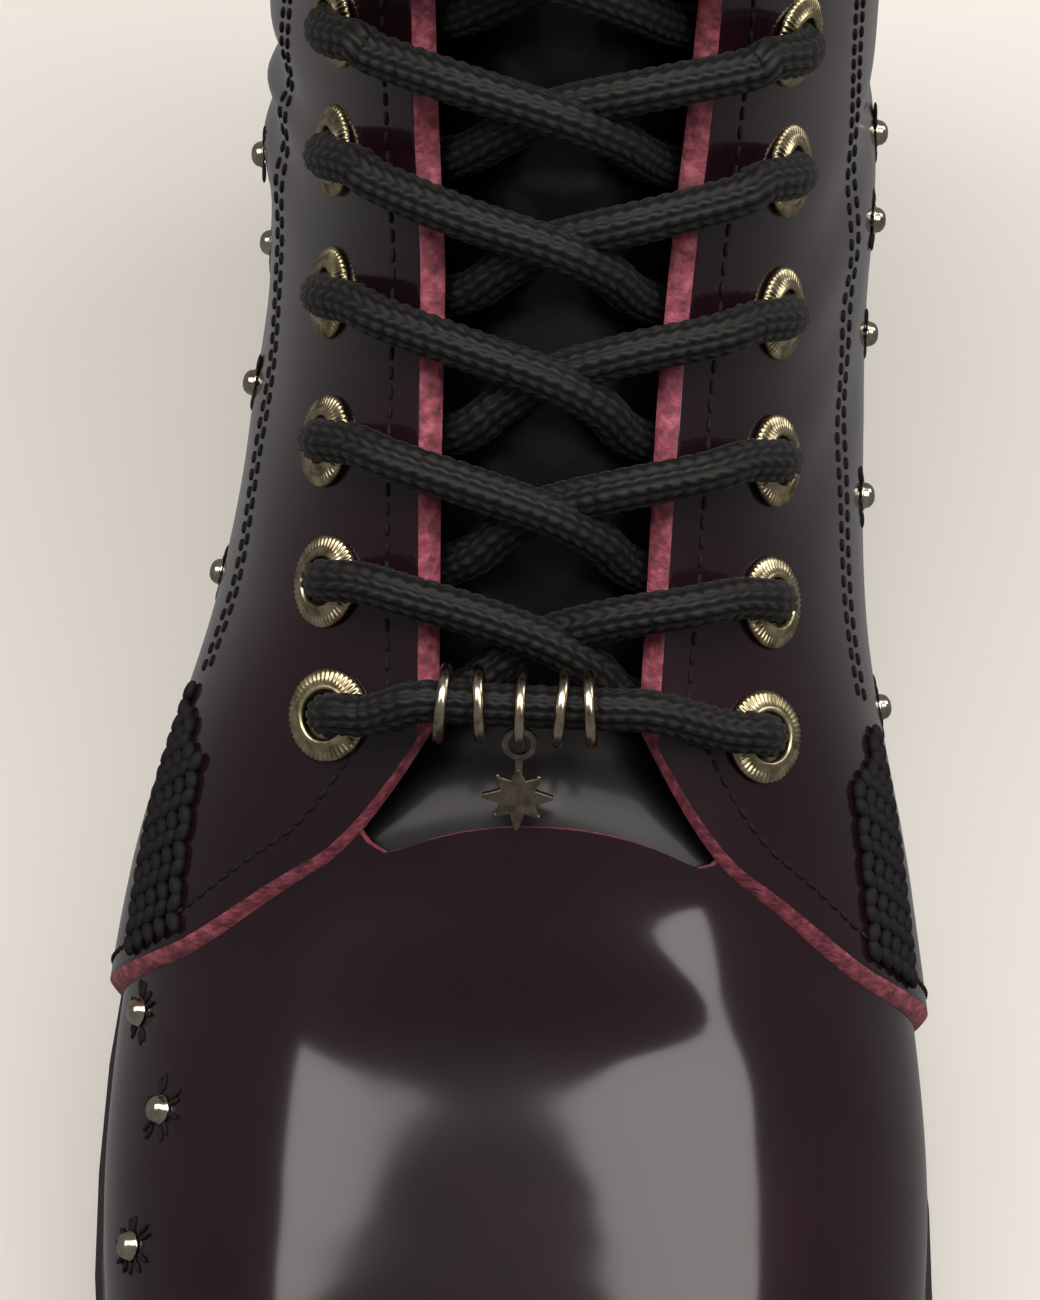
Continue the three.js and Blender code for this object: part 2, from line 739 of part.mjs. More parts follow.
function charmMatrix() {
  const lie = slopeDirection(charmLieAngle);
  const across = new THREE.Vector3(1, 0, 0);
  const contact = barPoint(rings[charmRing].across)
    .addScaledVector(slopeDirection(charmHangAngle), charmRingDrop + ringRadius);
  const slack = eyeRadius - eyeWireRadius - ringWireRadius - clearance;
  const up = lie.clone().negate();
  return new THREE.Matrix4()
    .makeBasis(across, up, across.clone().cross(up))
    .setPosition(contact.addScaledVector(lie, slack));
}

function stud() {
  const profile = [[0, 0], [1, 0], [0.8, 0.55], [0, 0.9]]
    .map(([radius, height]) => new THREE.Vector2(radius * studRadius, height * studRadius));
  return solidFromGeometry(new THREE.LatheGeometry(profile, 8));
}

function studMatrix(row, index) {
  const t = row.section + row.step * index;
  const side = row.side + row.stagger * (index % 2);
  const turn = new THREE.Quaternion().setFromUnitVectors(new THREE.Vector3(0, 1, 0), lastNormal(t, side));
  const matrix = new THREE.Matrix4();
  return matrix.compose(shellPoint(t, side, row.wall + clearance), turn, new THREE.Vector3(1, 1, 1));
}

// Meshes
const boot = new THREE.Group();
boot.name = 'lace_up_boot';

function addMesh(name, geometry, material, matrix = new THREE.Matrix4()) {
  const mesh = new THREE.Mesh(geometry, new THREE.MeshStandardMaterial(material));
  mesh.name = name;
  matrix.decompose(mesh.position, mesh.quaternion, mesh.scale);
  boot.add(mesh);
}

function addSolid(name, solid, material, matrix) {
  const mesh = solid.getMesh();
  const geometry = new THREE.BufferGeometry();
  geometry.setAttribute('position', new THREE.BufferAttribute(mesh.vertProperties, 3));
  geometry.setIndex(new THREE.BufferAttribute(mesh.triVerts, 1));
  addMesh(name, geometry, material, matrix);
}

const leather = { color: 0x2a1420, roughness: 0.14, metalness: 0 };
const rubber = { color: 0x141313, roughness: 0.7, metalness: 0 };
const lining = { color: 0x0d0c0d, roughness: 0.8, metalness: 0 };
const cord = { color: 0x15140f, roughness: 0.75, metalness: 0 };
const brass = { color: 0x8a7f5a, roughness: 0.35, metalness: 1 };
const pewter = { color: 0x3a332c, roughness: 0.45, metalness: 1 };

addSolid('outsole', outsole(), rubber);
addSolid('heel', heelBlock(), rubber);
addSolid('midsole', midsole(), rubber);
addSolid('insole', insole(), lining);
addSolid('upper', upper(), leather);
addSolid('tongue', tongue(), lining);

for (let row = 0; row < eyeletPairs; row += 1) {
  addSolid(`eyelet_outer_${row + 1}`, eyelet(), brass, eyeletSeat(row, -1));
  addSolid(`eyelet_inner_${row + 1}`, eyelet(), brass, eyeletSeat(row, 1));
}

addSolid('lace_bar', laceBar(), cord);
for (let row = 0; row + 1 < eyeletPairs; row += 1) {
  addSolid(`lace_crossing_${row + 1}`, crossing(row), cord);
}

rings.forEach((ring, index) => {
  const wire = solidFromGeometry(new THREE.TorusGeometry(ringRadius, ringWireRadius, 6, 12));
  addSolid(`ring_${index + 1}`, wire, brass, ringMatrix(index));
});
addSolid('charm', charm(), pewter, charmMatrix());

studRows.forEach((row) => {
  for (let index = 0; index < row.count; index += 1) {
    addSolid(`${row.name}_${index + 1}`, stud(), brass, studMatrix(row, index));
  }
});

// The origin lies on the floor under the middle of the boot
const extent = new THREE.Box3().setFromObject(boot);
boot.position.set(-(extent.min.x + extent.max.x) / 2, -(extent.min.y + extent.max.y) / 2, 0);

export default boot;
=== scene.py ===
# Lace-up boot, right foot: high-gloss aubergine leather, brass eyelets, a braided black lace with
# five wire rings and a star charm, on a lugged rubber sole.
import math
import bmesh
import bpy
import numpy as np
from mathutils import Matrix, Vector


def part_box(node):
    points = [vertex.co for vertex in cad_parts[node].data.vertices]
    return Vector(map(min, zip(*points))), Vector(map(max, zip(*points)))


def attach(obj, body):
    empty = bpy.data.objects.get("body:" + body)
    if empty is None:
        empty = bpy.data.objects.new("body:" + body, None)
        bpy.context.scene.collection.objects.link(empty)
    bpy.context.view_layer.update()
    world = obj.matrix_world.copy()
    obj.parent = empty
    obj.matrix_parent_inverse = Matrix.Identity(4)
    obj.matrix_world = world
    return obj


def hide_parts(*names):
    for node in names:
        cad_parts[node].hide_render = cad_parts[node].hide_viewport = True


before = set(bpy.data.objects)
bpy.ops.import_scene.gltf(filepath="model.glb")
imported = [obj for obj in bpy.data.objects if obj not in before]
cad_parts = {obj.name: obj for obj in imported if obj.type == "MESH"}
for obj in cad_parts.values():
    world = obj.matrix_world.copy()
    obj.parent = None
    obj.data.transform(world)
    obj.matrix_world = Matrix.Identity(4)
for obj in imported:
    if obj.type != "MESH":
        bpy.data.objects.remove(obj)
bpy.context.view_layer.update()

# Camera
# A long lens looks down on the instep from in front of the toe, so that the facings face it and
# the toe and the shaft run out of the picture.
camera_data = bpy.data.cameras.new("camera")
camera_data.sensor_width = 36
camera_data.lens = 104.9
camera_data.clip_start = 0.01
camera = bpy.data.objects.new("camera", camera_data)
camera_elevation = math.radians(58.6)
camera_turn = math.radians(-2.4)
camera_roll = math.radians(-0.4)
camera.location = (0.0088, -0.2578, 0.4906)
camera.rotation_euler = (Matrix.Rotation(-camera_turn, 3, "Z")
                         @ Matrix.Rotation(math.pi / 2 - camera_elevation, 3, "X")
                         @ Matrix.Rotation(-camera_roll, 3, "Z")).to_euler()
bpy.context.scene.collection.objects.link(camera)
bpy.context.scene.camera = camera

# Last
# The form that the leather is pulled over. Its sections fan from the toe over the heel to the
# collar. A place on it is a section, counted from 0 at the toe, and a side, from -1 at the foot of
# the outer side over 0 on the ridge to 1 at the foot of the inner side. Sizes are in millimetres.
SOLE_LENGTH = 284
HALF_BALL = 57
FORE_HEIGHT = 21
HEEL_HEIGHT = 38
TOE_SPRING = 9
COLLAR_HEIGHT = 196
TOE_MARGIN = 5
HEEL_MARGIN = 2.5
SIDE_MARGIN = 5
FOOT_DROP = 1.5
BALL_FRONT = -0.19 * SOLE_LENGTH
BREAST = 0.22 * SOLE_LENGTH
footprint = {
    "at": (-1, -0.967, -0.863, -0.696, -0.443, -0.154, 0.172, 0.497, 0.75, 0.924, 1),
    "outer": (0, 0.37, 0.69, 0.88, 0.99, 0.98, 0.80, 0.69, 0.67, 0.49, 0),
    "inner": (0, 0.42, 0.74, 0.89, 0.96, 0.87, 0.65, 0.64, 0.67, 0.49, 0),
}
sections = {
    "lean": (0, -0.011, -0.007, 0, -0.015, -0.101, -0.289, -0.514, -0.694,
             -0.825, -0.864, -0.832, -0.767, -0.694, -0.655, -0.655, -0.644),
    "rise": (0, 0.079, 0.2, 0.27, 0.35, 0.43, 0.473, 0.529, 0.586,
             0.626, 0.66, 0.706, 0.754, 0.803, 0.854, 0.911, 0.997),
    "outer": (0, 0.35, 0.65, 0.83, 0.915, 0.875, 0.722, 0.664, 0.652,
              0.648, 0.637, 0.625, 0.625, 0.638, 0.662, 0.694, 0.708),
    "inner": (0, 0.395, 0.695, 0.838, 0.887, 0.811, 0.69, 0.67, 0.679,
              0.667, 0.656, 0.644, 0.644, 0.657, 0.681, 0.713, 0.727),
    "widest": (0.3, 0.3, 0.3, 0.29, 0.28, 0.27, 0.25, 0.27, 0.32,
               0.4, 0.45, 0.48, 0.5, 0.5, 0.5, 0.5, 0.5),
    "ridge": (0, 0.02, 0.03, 0.04, 0.04, 0.02, 0.01, 0, 0, 0, 0, 0, 0, 0, 0, 0, 0),
    "power": (2.3, 2.3, 2.3, 2.25, 2.15, 2.15, 2.1, 2.05, 2, 2, 2, 2, 2.05, 2.1, 2.1, 2.15, 2.15),
}
back_seam = {
    "at": (1, 1.011, 0.982, 0.939, 0.924, 0.946, 0.96),
    "lift": (0, 0.149, 0.314, 0.474, 0.64, 0.851, 0.943),
}
HEEL_SECTION = 10
TOP_SECTION = 16
COLLAR_SECTION = 15
FEATHER_HALF = (SOLE_LENGTH - TOE_MARGIN - HEEL_MARGIN) / 2
FEATHER_MID = (TOE_MARGIN - HEEL_MARGIN) / 2
SHAFT_RISE = COLLAR_HEIGHT - FORE_HEIGHT


def read_column(values, place, start_sign, end_sign):
    column = np.array(values, float)
    before = start_sign * column[1] if start_sign else 2 * column[0] - column[1]
    after = end_sign * column[-2] if end_sign else 2 * column[-1] - column[-2]
    padded = np.concatenate([[before], column, [after]])
    index = np.clip(np.floor(place).astype(int), 0, len(column) - 2)
    share = place - index
    a, b, c, d = (padded[index + k] for k in range(4))
    cubic = 3 * (b - c) + d - a
    square = 2 * a - 5 * b + 4 * c - d
    return b + 0.5 * share * (c - a + share * (square + share * cubic))


def smooth(low, high, value):
    share = np.clip((value - low) / (high - low), 0, 1)
    return share * share * (3 - 2 * share)


def seat(y):
    """How high the top of the sole lies above the floor along the boot."""
    toe = np.maximum(0, (BALL_FRONT - y) / (BALL_FRONT + SOLE_LENGTH / 2))
    heel = (HEEL_HEIGHT - FORE_HEIGHT) * smooth(BALL_FRONT, BREAST, y)
    return FORE_HEIGHT + TOE_SPRING * toe * toe + heel


def footprint_at(t):
    return (read_column(footprint["at"], t, 1, 1),
            np.maximum(0, read_column(footprint["outer"], t, -1, -1)),
            np.maximum(0, read_column(footprint["inner"], t, -1, -1)))


def section_column(key, t):
    return read_column(sections[key], t, 1 if key in ("widest", "power") else -1, 0)


def form_point(t, side):
    t, side = np.broadcast_arrays(np.asarray(t, float), np.asarray(side, float))
    at, base_outer, base_inner = footprint_at(np.minimum(t, HEEL_SECTION))
    on_seam = np.maximum(0, t - HEEL_SECTION)
    at = np.where(on_seam > 0, read_column(back_seam["at"], on_seam, 1, 0), at)
    lift = np.where(on_seam > 0, read_column(back_seam["lift"], on_seam, 1, 0), 0) * SHAFT_RISE
    back_y = FEATHER_MID + FEATHER_HALF * at
    floor = seat(back_y) - FOOT_DROP
    front_y = back_y + FEATHER_HALF * section_column("lean", t)
    front_z = floor + SHAFT_RISE * section_column("rise", t)
    hand = np.where(side < 0, -1, 1)
    wide = HALF_BALL * np.where(side < 0, section_column("outer", t), section_column("inner", t))
    base = (HALF_BALL - SIDE_MARGIN) * np.where(side < 0, base_outer, base_inner)
    widest = section_column("widest", t)
    ridge = HALF_BALL * section_column("ridge", t)
    turn = np.minimum(1, np.abs(side)) * math.pi
    exponent = 2 / section_column("power", t)
    over = ridge + hand * (wide - hand * ridge) * np.sin(np.minimum(turn, math.pi / 2)) ** exponent
    under = hand * (base + (wide - base) * np.sin(turn))
    high = widest + (1 - widest) * np.maximum(0, np.cos(turn)) ** exponent
    low = widest * (1 + np.cos(turn))
    upper_half = turn <= math.pi / 2
    x = np.where(upper_half, over, under)
    x = np.where((np.abs(side) >= 1) & (t >= HEEL_SECTION), 0, x)
    up = np.where(upper_half, high, low)
    return np.stack([x, back_y + (front_y - back_y) * up, floor + lift + (front_z - floor - lift) * up], -1)


def last_point(t, side):
    """The form, with the turn over the heel and the ankle drawn softer."""
    spread = 0.45 * np.exp(-(t - HEEL_SECTION) ** 2) * (1 - np.abs(side) ** 6)
    weights = ((-1.5, 0.13), (-0.75, 0.235), (0, 0.27), (0.75, 0.235), (1.5, 0.13))
    return sum(weight * form_point(t + step * spread, side) for step, weight in weights)


def last_normal(t, side):
    step = 0.01
    t, side = np.broadcast_arrays(np.asarray(t, float), np.asarray(side, float))
    place = np.maximum(t, 0.05)
    along = last_point(np.minimum(TOP_SECTION, place + step), side)
    along = along - last_point(np.maximum(0, place - step), side)
    around = last_point(place, np.minimum(1, side + step)) - last_point(place, np.maximum(-1, side - step))
    normal = np.cross(around, along)
    closed = (np.abs(side) >= 1) & (t >= HEEL_SECTION)
    normal[..., 0] = np.where(closed, 0, normal[..., 0])
    return normal / np.linalg.norm(normal, axis=-1, keepdims=True)


# The frame's origin lies under the middle of the boot, the last's in the middle of the sole
sole_low, sole_high = (np.array(corner) * 1000 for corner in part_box("midsole"))
outer_reach = HALF_BALL * footprint_at(np.linspace(3, 6, 301))[1].max()
last_origin = np.array([sole_low[0] + outer_reach, (sole_low[1] + sole_high[1]) / 2, 0])


def shell(t, side, offset):
    """A place on the last grown by an offset, in metres in the frame."""
    point = last_point(t, side) + last_normal(t, side) * np.asarray(offset)[..., None]
    return (point + last_origin) / 1000


def side_across(t, across):
    """The side that lies so many millimetres across from the ridge."""
    ridge = HALF_BALL * section_column("ridge", t)
    outer = HALF_BALL * section_column("outer", t) + ridge
    inner = HALF_BALL * section_column("inner", t) - ridge
    share = np.minimum(1, np.abs(across) / np.where(across < 0, outer, inner))
    return np.sign(across) * np.arcsin(share ** (section_column("power", t) / 2)) / math.pi


VAMP_EDGE = 4.8
FIRST_EYELET = 14
EYELET_PITCH = 15.6
EYELET_PAIRS = 8
EYELET_HALF = 24
THROAT_HALF = 12.5
THROAT_FLARE = 5
ridge_sections = np.arange(VAMP_EDGE, TOP_SECTION, 0.02)
ridge_points = last_point(ridge_sections, 0 * ridge_sections)
ridge_lengths = np.concatenate([[0], np.cumsum(np.linalg.norm(np.diff(ridge_points, axis=0), axis=1))])


def section_at(row):
    """The section of a row of eyelets, which may lie between two rows."""
    length = FIRST_EYELET + EYELET_PITCH * np.asarray(row, float)
    return np.interp(length, ridge_lengths, ridge_sections)


first_row = float(section_at(0))
last_row = float(section_at(EYELET_PAIRS - 1))


def throat_half(t):
    up = np.maximum(0, (t - first_row) / (last_row - first_row))
    down = np.maximum(0, (first_row - t) / (first_row - VAMP_EDGE))
    return THROAT_HALF + THROAT_FLARE * up + THROAT_FLARE * down * down


def on_facing(row, across, offset):
    t = section_at(row)
    return shell(t, side_across(t, np.asarray(across, float)), offset)


# Glossy leather
# Coated calf, almost black with an aubergine glow, under a hard clear finish that has the faint
# swell of the hide below it. Its cut edges were left raw and show pink-red.


def new_material(name, base, roughness, metallic=0.0, coat=0.0, coat_roughness=0.03):
    material = bpy.data.materials.new(name)
    material.use_nodes = True
    shader = material.node_tree.nodes["Principled BSDF"]
    shader.inputs["Base Color"].default_value = (*base, 1)
    shader.inputs["Roughness"].default_value = roughness
    shader.inputs["Metallic"].default_value = metallic
    shader.inputs["Coat Weight"].default_value = coat
    shader.inputs["Coat Roughness"].default_value = coat_roughness
    return material


def add_noise(material, scale, detail=3.0):
    nodes, links = material.node_tree.nodes, material.node_tree.links
    place = nodes.new("ShaderNodeTexCoord")
    noise = nodes.new("ShaderNodeTexNoise")
    noise.inputs["Scale"].default_value = scale
    noise.inputs["Detail"].default_value = detail
    links.new(place.outputs["Object"], noise.inputs["Vector"])
    return noise.outputs["Fac"]


def add_ramp(material, source, stops):
    ramp = material.node_tree.nodes.new("ShaderNodeValToRGB")
    while len(ramp.color_ramp.elements) < len(stops):
        ramp.color_ramp.elements.new(0.5)
    for element, (place, colour) in zip(ramp.color_ramp.elements, stops):
        element.position = place
        element.color = (*colour, 1)
    material.node_tree.links.new(source, ramp.inputs["Fac"])
    return ramp.outputs["Color"]


def add_bump(material, source, distance, strength=1.0, socket="Normal"):
    nodes, links = material.node_tree.nodes, material.node_tree.links
    bump = nodes.new("ShaderNodeBump")
    bump.inputs["Strength"].default_value = strength
    bump.inputs["Distance"].default_value = distance
    links.new(source, bump.inputs["Height"])
    shader = nodes["Principled BSDF"]
    if shader.inputs[socket].links:
        links.new(shader.inputs[socket].links[0].from_socket, bump.inputs["Normal"])
    links.new(bump.outputs["Normal"], shader.inputs[socket])


def feed(material, source, socket):
    material.node_tree.links.new(source, material.node_tree.nodes["Principled BSDF"].inputs[socket])


def set_input(material, socket, value):
    material.node_tree.nodes["Principled BSDF"].inputs[socket].default_value = value


glossy_leather = new_material("glossy_leather", (0.008, 0.003, 0.005), 0.35, coat=1.0, coat_roughness=0.10)
set_input(glossy_leather, "Coat IOR", 1.45)
set_input(glossy_leather, "Specular IOR Level", 0.06)
feed(glossy_leather, add_ramp(glossy_leather, add_noise(glossy_leather, 30), [
    (0.3, (0.006, 0.0022, 0.0036)),
    (0.7, (0.013, 0.0036, 0.0075)),
]), "Base Color")
add_bump(glossy_leather, add_noise(glossy_leather, 55, 1.0), 0.0004, 0.5, "Coat Normal")
add_bump(glossy_leather, add_noise(glossy_leather, 900, 4.0), 0.00006, 0.4)

raw_edge = new_material("raw_edge", (0.35, 0.06, 0.09), 0.75)
feed(raw_edge, add_ramp(raw_edge, add_noise(raw_edge, 700, 5.0), [
    (0.3, (0.07, 0.012, 0.020)),
    (0.5, (0.19, 0.032, 0.052)),
    (0.72, (0.34, 0.085, 0.115)),
]), "Base Color")
add_bump(raw_edge, add_noise(raw_edge, 1500, 4.0), 0.0003, 0.8)

lining_cloth = new_material("lining", (0.010, 0.009, 0.010), 0.85)
add_bump(lining_cloth, add_noise(lining_cloth, 2500, 3.0), 0.0001, 0.6)

VAMP_WALL = 1.5
VAMP_LEATHER = 1.4
QUARTER_WALL = 3.5
QUARTER_LEATHER = 1.2
LINING_TOP = QUARTER_WALL - 1.25
LINING_THICKNESS = QUARTER_WALL - 1.3
BACKSTAY_HALF = 10
BACKSTAY_RAISE = 1.2

# Creases and swells of the worn leather: section, side, half length and half width in mm, turn in
# degrees from across to along the boot, and height in mm, below zero for a trough.
creases = [
    (4.55, -0.20, 26, 7, 12, -0.5),
    (4.50, 0.18, 24, 7, -14, -0.5),
    (4.05, 0.02, 34, 8, 0, -0.5),
    (4.30, 0.00, 30, 7, 0, 0.35),
    (6.80, 0.33, 20, 5, 30, -0.7),
    (7.60, 0.34, 16, 4, 25, -0.7),
    (8.60, 0.33, 15, 4, 20, -0.6),
    (8.10, 0.40, 18, 5, 22, 0.5),
    (8.70, -0.43, 15, 3.2, -12, 1.5),
    (9.15, -0.42, 15, 2.6, -10, -1.1),
    (9.55, -0.44, 15, 3.0, -10, 1.6),
    (10.05, -0.43, 16, 2.8, -8, -1.2),
    (10.60, -0.42, 16, 4, -6, 1.0),
    (7.20, -0.40, 22, 6, -25, -0.5),
    (6.20, -0.38, 22, 6, -30, -0.5),
    (9.70, 0.45, 16, 4, 12, -0.6),
]
# How far along the boot each section lies on its side, and how long a section's half girth is
CREASE_LENGTHS = (0, 5, 22, 48, 81, 117, 142, 161, 175, 184, 193, 203, 213, 223, 233, 244, 260)
HALF_GIRTH = 170


def crease_height(t, side):
    height = np.zeros(np.broadcast(t, side).shape)
    rows = np.arange(len(CREASE_LENGTHS))
    for section, place, half_length, half_width, turn, depth in creases:
        across = (side - place) * HALF_GIRTH
        along = np.interp(t, rows, CREASE_LENGTHS) - np.interp(section, rows, CREASE_LENGTHS)
        angle = math.radians(turn)
        far = across * math.cos(angle) + along * math.sin(angle)
        near = -across * math.sin(angle) + along * math.cos(angle)
        height += depth * np.exp(-(far / half_length) ** 2 - (near / half_width) ** 2)
    return height


# The quarters' edges are skived: over the first rows and columns of their grid the cut face drops
# and shows pink
SKIVE_DROP = 2.2
SKIVE_WIDTH = 1.6
SKIVE_ROWS = 4
SKIVE_COLUMNS = 6
QUARTER_ROWS = 160
QUARTER_COLUMNS = 90


def join_object(name, bm, materials):
    mesh = bpy.data.meshes.new(name)
    bm.to_mesh(mesh)
    bm.free()
    for polygon in mesh.polygons:
        polygon.use_smooth = True
    for material in materials:
        mesh.materials.append(material)
    piece = bpy.data.objects.new(name, mesh)
    bpy.context.scene.collection.objects.link(piece)
    return piece


def lay_sheet(name, place, rows, columns, offset, thickness, materials, rim=1, skive=None):
    """A sheet over the last: place(u, v) gives sections and sides, u along and v across.

    skive(u, v) is 1 on the sheet and falls to 0 at a cut edge, which drops and takes the second
    material.
    """
    bm = bmesh.new()
    bmesh.ops.create_grid(bm, x_segments=columns, y_segments=rows, size=0.5)
    share = np.array([vertex.co[:2] for vertex in bm.verts]) + 0.5
    t, side = place(share[:, 1], share[:, 0])
    heights = offset(t, side) if callable(offset) else np.full_like(t, offset)
    if skive:
        inside = skive(share[:, 1], share[:, 0])
        heights = heights - SKIVE_DROP * (1 - inside)
    points = shell(t, side, heights)
    for vertex, point in zip(bm.verts, points):
        vertex.co = point
    bm.normal_update()
    outward = last_normal(t, side)
    if sum(vertex.normal.dot(Vector(way)) for vertex, way in zip(bm.verts, outward)) < 0:
        bmesh.ops.reverse_faces(bm, faces=bm.faces)
    bm.verts.index_update()
    if skive:
        for face in bm.faces:
            face.material_index = int(np.mean([inside[vertex.index] for vertex in face.verts]) < 0.99)
    piece = join_object(name, bm, materials)
    wall = piece.modifiers.new("wall", "SOLIDIFY")
    wall.thickness = thickness / 1000
    wall.offset = -1
    wall.material_offset_rim = rim
    corners = piece.modifiers.new("corners", "BEVEL")
    corners.limit_method = "ANGLE"
    corners.angle_limit = math.radians(50)
    corners.width = 0.00018
    corners.segments = 2
    corners.harden_normals = True
    return piece


def vamp_place(u, v):
    """From the toe to the edge under the throat, which runs on back at the sides under the quarters."""
    side = 2 * v - 1
    across = np.abs(side) / np.abs(side_across(np.full_like(u, VAMP_EDGE), 17.5 * np.sign(side) + 1e-6))
    end = VAMP_EDGE - 0.09 * np.minimum(across, 1) ** 2 + 0.5 * smooth(1.05, 1.9, across)
    return end * u ** 1.15, side


def leather_offset(wall):
    return lambda t, side: wall + crease_height(t, side)


leathers = [glossy_leather, raw_edge]
upper_pieces = [lay_sheet("vamp", vamp_place, 110, 150, leather_offset(VAMP_WALL), VAMP_LEATHER, leathers)]
# How far the quarters' front edge sweeps forward, in sections, and how many sections go to a
# millimetre at that edge and at the collar
FRONT_SWEEP = 0.3
FRONT_PER_MM = 0.028
COLLAR_PER_MM = 0.05


def quarter_place(hand, inset=0.0):
    """A quarter: u runs from its front edge to the collar, v from the throat to the foot or back seam."""
    def place(u, v):
        way = v ** 1.6
        turned = np.maximum(0, 1 - way / 0.1)
        front = VAMP_EDGE + 0.02
        bow = FRONT_SWEEP * smooth(0, 0.25, way) * (1 - smooth(0.25, 0.7, way))
        curve = (first_row - front) * turned ** 2 - bow
        start = front + curve + inset * FRONT_PER_MM
        t = start + (COLLAR_SECTION - inset * COLLAR_PER_MM - start) * u ** 1.5
        edge = side_across(t, throat_half(np.maximum(t, first_row)) + inset)
        return t, hand * (edge + (1 - edge) * way)
    return place


def skived(u, v):
    return np.minimum(1, np.minimum(u * QUARTER_ROWS / SKIVE_ROWS, v * QUARTER_COLUMNS / SKIVE_COLUMNS))


for hand, name in ((-1, "outer"), (1, "inner")):
    quarter = lay_sheet("quarter_" + name, quarter_place(hand, -SKIVE_WIDTH), QUARTER_ROWS, QUARTER_COLUMNS,
                        leather_offset(QUARTER_WALL), QUARTER_LEATHER, leathers, 1, skived)
    lining = lay_sheet("lining_" + name, quarter_place(hand, 0.4), 90, 60, LINING_TOP, LINING_THICKNESS,
                       [lining_cloth], 0)
    upper_pieces += [quarter, lining]


def beside_back_seam(t, half):
    """How far half a width reaches from the back seam, as a share of the way round to the ridge."""
    return np.arcsin(np.minimum(1, half / (HALF_BALL * section_column("outer", t)))) / math.pi


def backstay_place(u, v):
    t = HEEL_SECTION + (COLLAR_SECTION - HEEL_SECTION) * u
    way = (2 * v - 1) * beside_back_seam(t, BACKSTAY_HALF)
    return t, np.where(way <= 0, 1 + way, way - 1)


upper_pieces.append(lay_sheet("backstay", backstay_place, 60, 14, QUARTER_WALL + BACKSTAY_RAISE,
                              VAMP_LEATHER, [glossy_leather], 0))

for piece in upper_pieces:
    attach(piece, "boot")
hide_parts("upper")

# Tongue
# Soft glossy leather, stitched in below the vamp's edge and lying deeper under the facings.
tongue_leather = new_material("tongue_leather", (0.003, 0.0022, 0.0026), 0.45, coat=0.2, coat_roughness=0.16)
set_input(tongue_leather, "Specular IOR Level", 0.2)
add_bump(tongue_leather, add_noise(tongue_leather, 140, 3.0), 0.0005, 0.5)
TONGUE_WIDTH = 52
TONGUE_THICKNESS = 3
TONGUE_TOP = -0.9
TONGUE_SINK = 4.7
TONGUE_WAVE = 0.35
TONGUE_START = VAMP_EDGE - 0.4
TONGUE_END = TOP_SECTION - 0.1


def tongue_place(u, v):
    t = TONGUE_START + (TONGUE_END - TONGUE_START) * u
    return t, side_across(t, (v - 0.5) * TONGUE_WIDTH)


def tongue_top(t, side):
    under = smooth(VAMP_EDGE - 0.1, first_row, t)
    return TONGUE_TOP - TONGUE_SINK * under + TONGUE_WAVE * np.sin(2.2 * t) * under


tongue = lay_sheet("tongue_leather", tongue_place, 120, 30, tongue_top, TONGUE_THICKNESS,
                   [tongue_leather, raw_edge], 0)
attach(tongue, "boot")
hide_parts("tongue")

# Eyelets
# Antique brass tubes rolled over at the face, with a flange knurled in fine radial ridges.
brass = new_material("brass", (0.32, 0.26, 0.14), 0.3, metallic=1.0)
feed(brass, add_ramp(brass, add_noise(brass, 500, 4.0), [
    (0.35, (0.20, 0.16, 0.09)),
    (0.6, (0.52, 0.45, 0.28)),
    (0.8, (0.74, 0.67, 0.46)),
]), "Base Color")
add_bump(brass, add_noise(brass, 1800, 3.0), 0.00005, 0.4)

# Radius and height of the eyelet's wall, from the tube's foot over the flange and the rolled rim
eyelet_profile = [(2.9, -4.1), (3.5, -4.1), (3.5, 0), (5.5, 0), (5.6, 0.25), (5.5, 0.55), (5.1, 0.75),
                  (4.5, 0.9), (4.0, 1.0), (3.75, 1.3), (3.4, 1.5), (3.1, 1.4), (2.92, 1.0), (2.9, 0.2)]
KNURLS = 48
KNURL_START = 4.2
KNURL_HEIGHT = 0.13
EYELET_LIFT = 0.1


def eyelet_mesh(name):
    bm = bmesh.new()
    corners = [bm.verts.new((radius / 1000, 0, height / 1000)) for radius, height in eyelet_profile]
    edges = [bm.edges.new((a, b)) for a, b in zip(corners, corners[1:] + corners[:1])]
    bmesh.ops.spin(bm, geom=corners + edges, axis=(0, 0, 1), cent=(0, 0, 0), angle=2 * math.pi,
                   steps=KNURLS * 4, use_merge=True)
    bmesh.ops.remove_doubles(bm, verts=bm.verts, dist=1e-7)
    bmesh.ops.recalc_face_normals(bm, faces=bm.faces)
    for vertex in bm.verts:
        radius = math.hypot(vertex.co.x, vertex.co.y) * 1000
        if radius > KNURL_START and vertex.co.z > 0.0001:
            angle = math.atan2(vertex.co.y, vertex.co.x)
            vertex.co.z += KNURL_HEIGHT / 1000 * math.cos(KNURLS * angle)
    return join_object(name, bm, [brass])


def facing_matrix(row, hand, lift):
    t = section_at(row)
    side = side_across(t, np.array(hand * EYELET_HALF, float))
    turn = Vector((0, 0, 1)).rotation_difference(Vector(last_normal(t, side)))
    return Matrix.Translation(shell(t, side, lift)) @ turn.to_matrix().to_4x4()


for row in range(EYELET_PAIRS):
    for hand, name in ((-1, "outer"), (1, "inner")):
        eyelet = eyelet_mesh(f"rolled_eyelet_{name}_{row + 1}")
        eyelet.data.transform(facing_matrix(row, hand, QUARTER_WALL + EYELET_LIFT))
        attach(eyelet, "boot")
        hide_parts(f"eyelet_{name}_{row + 1}")

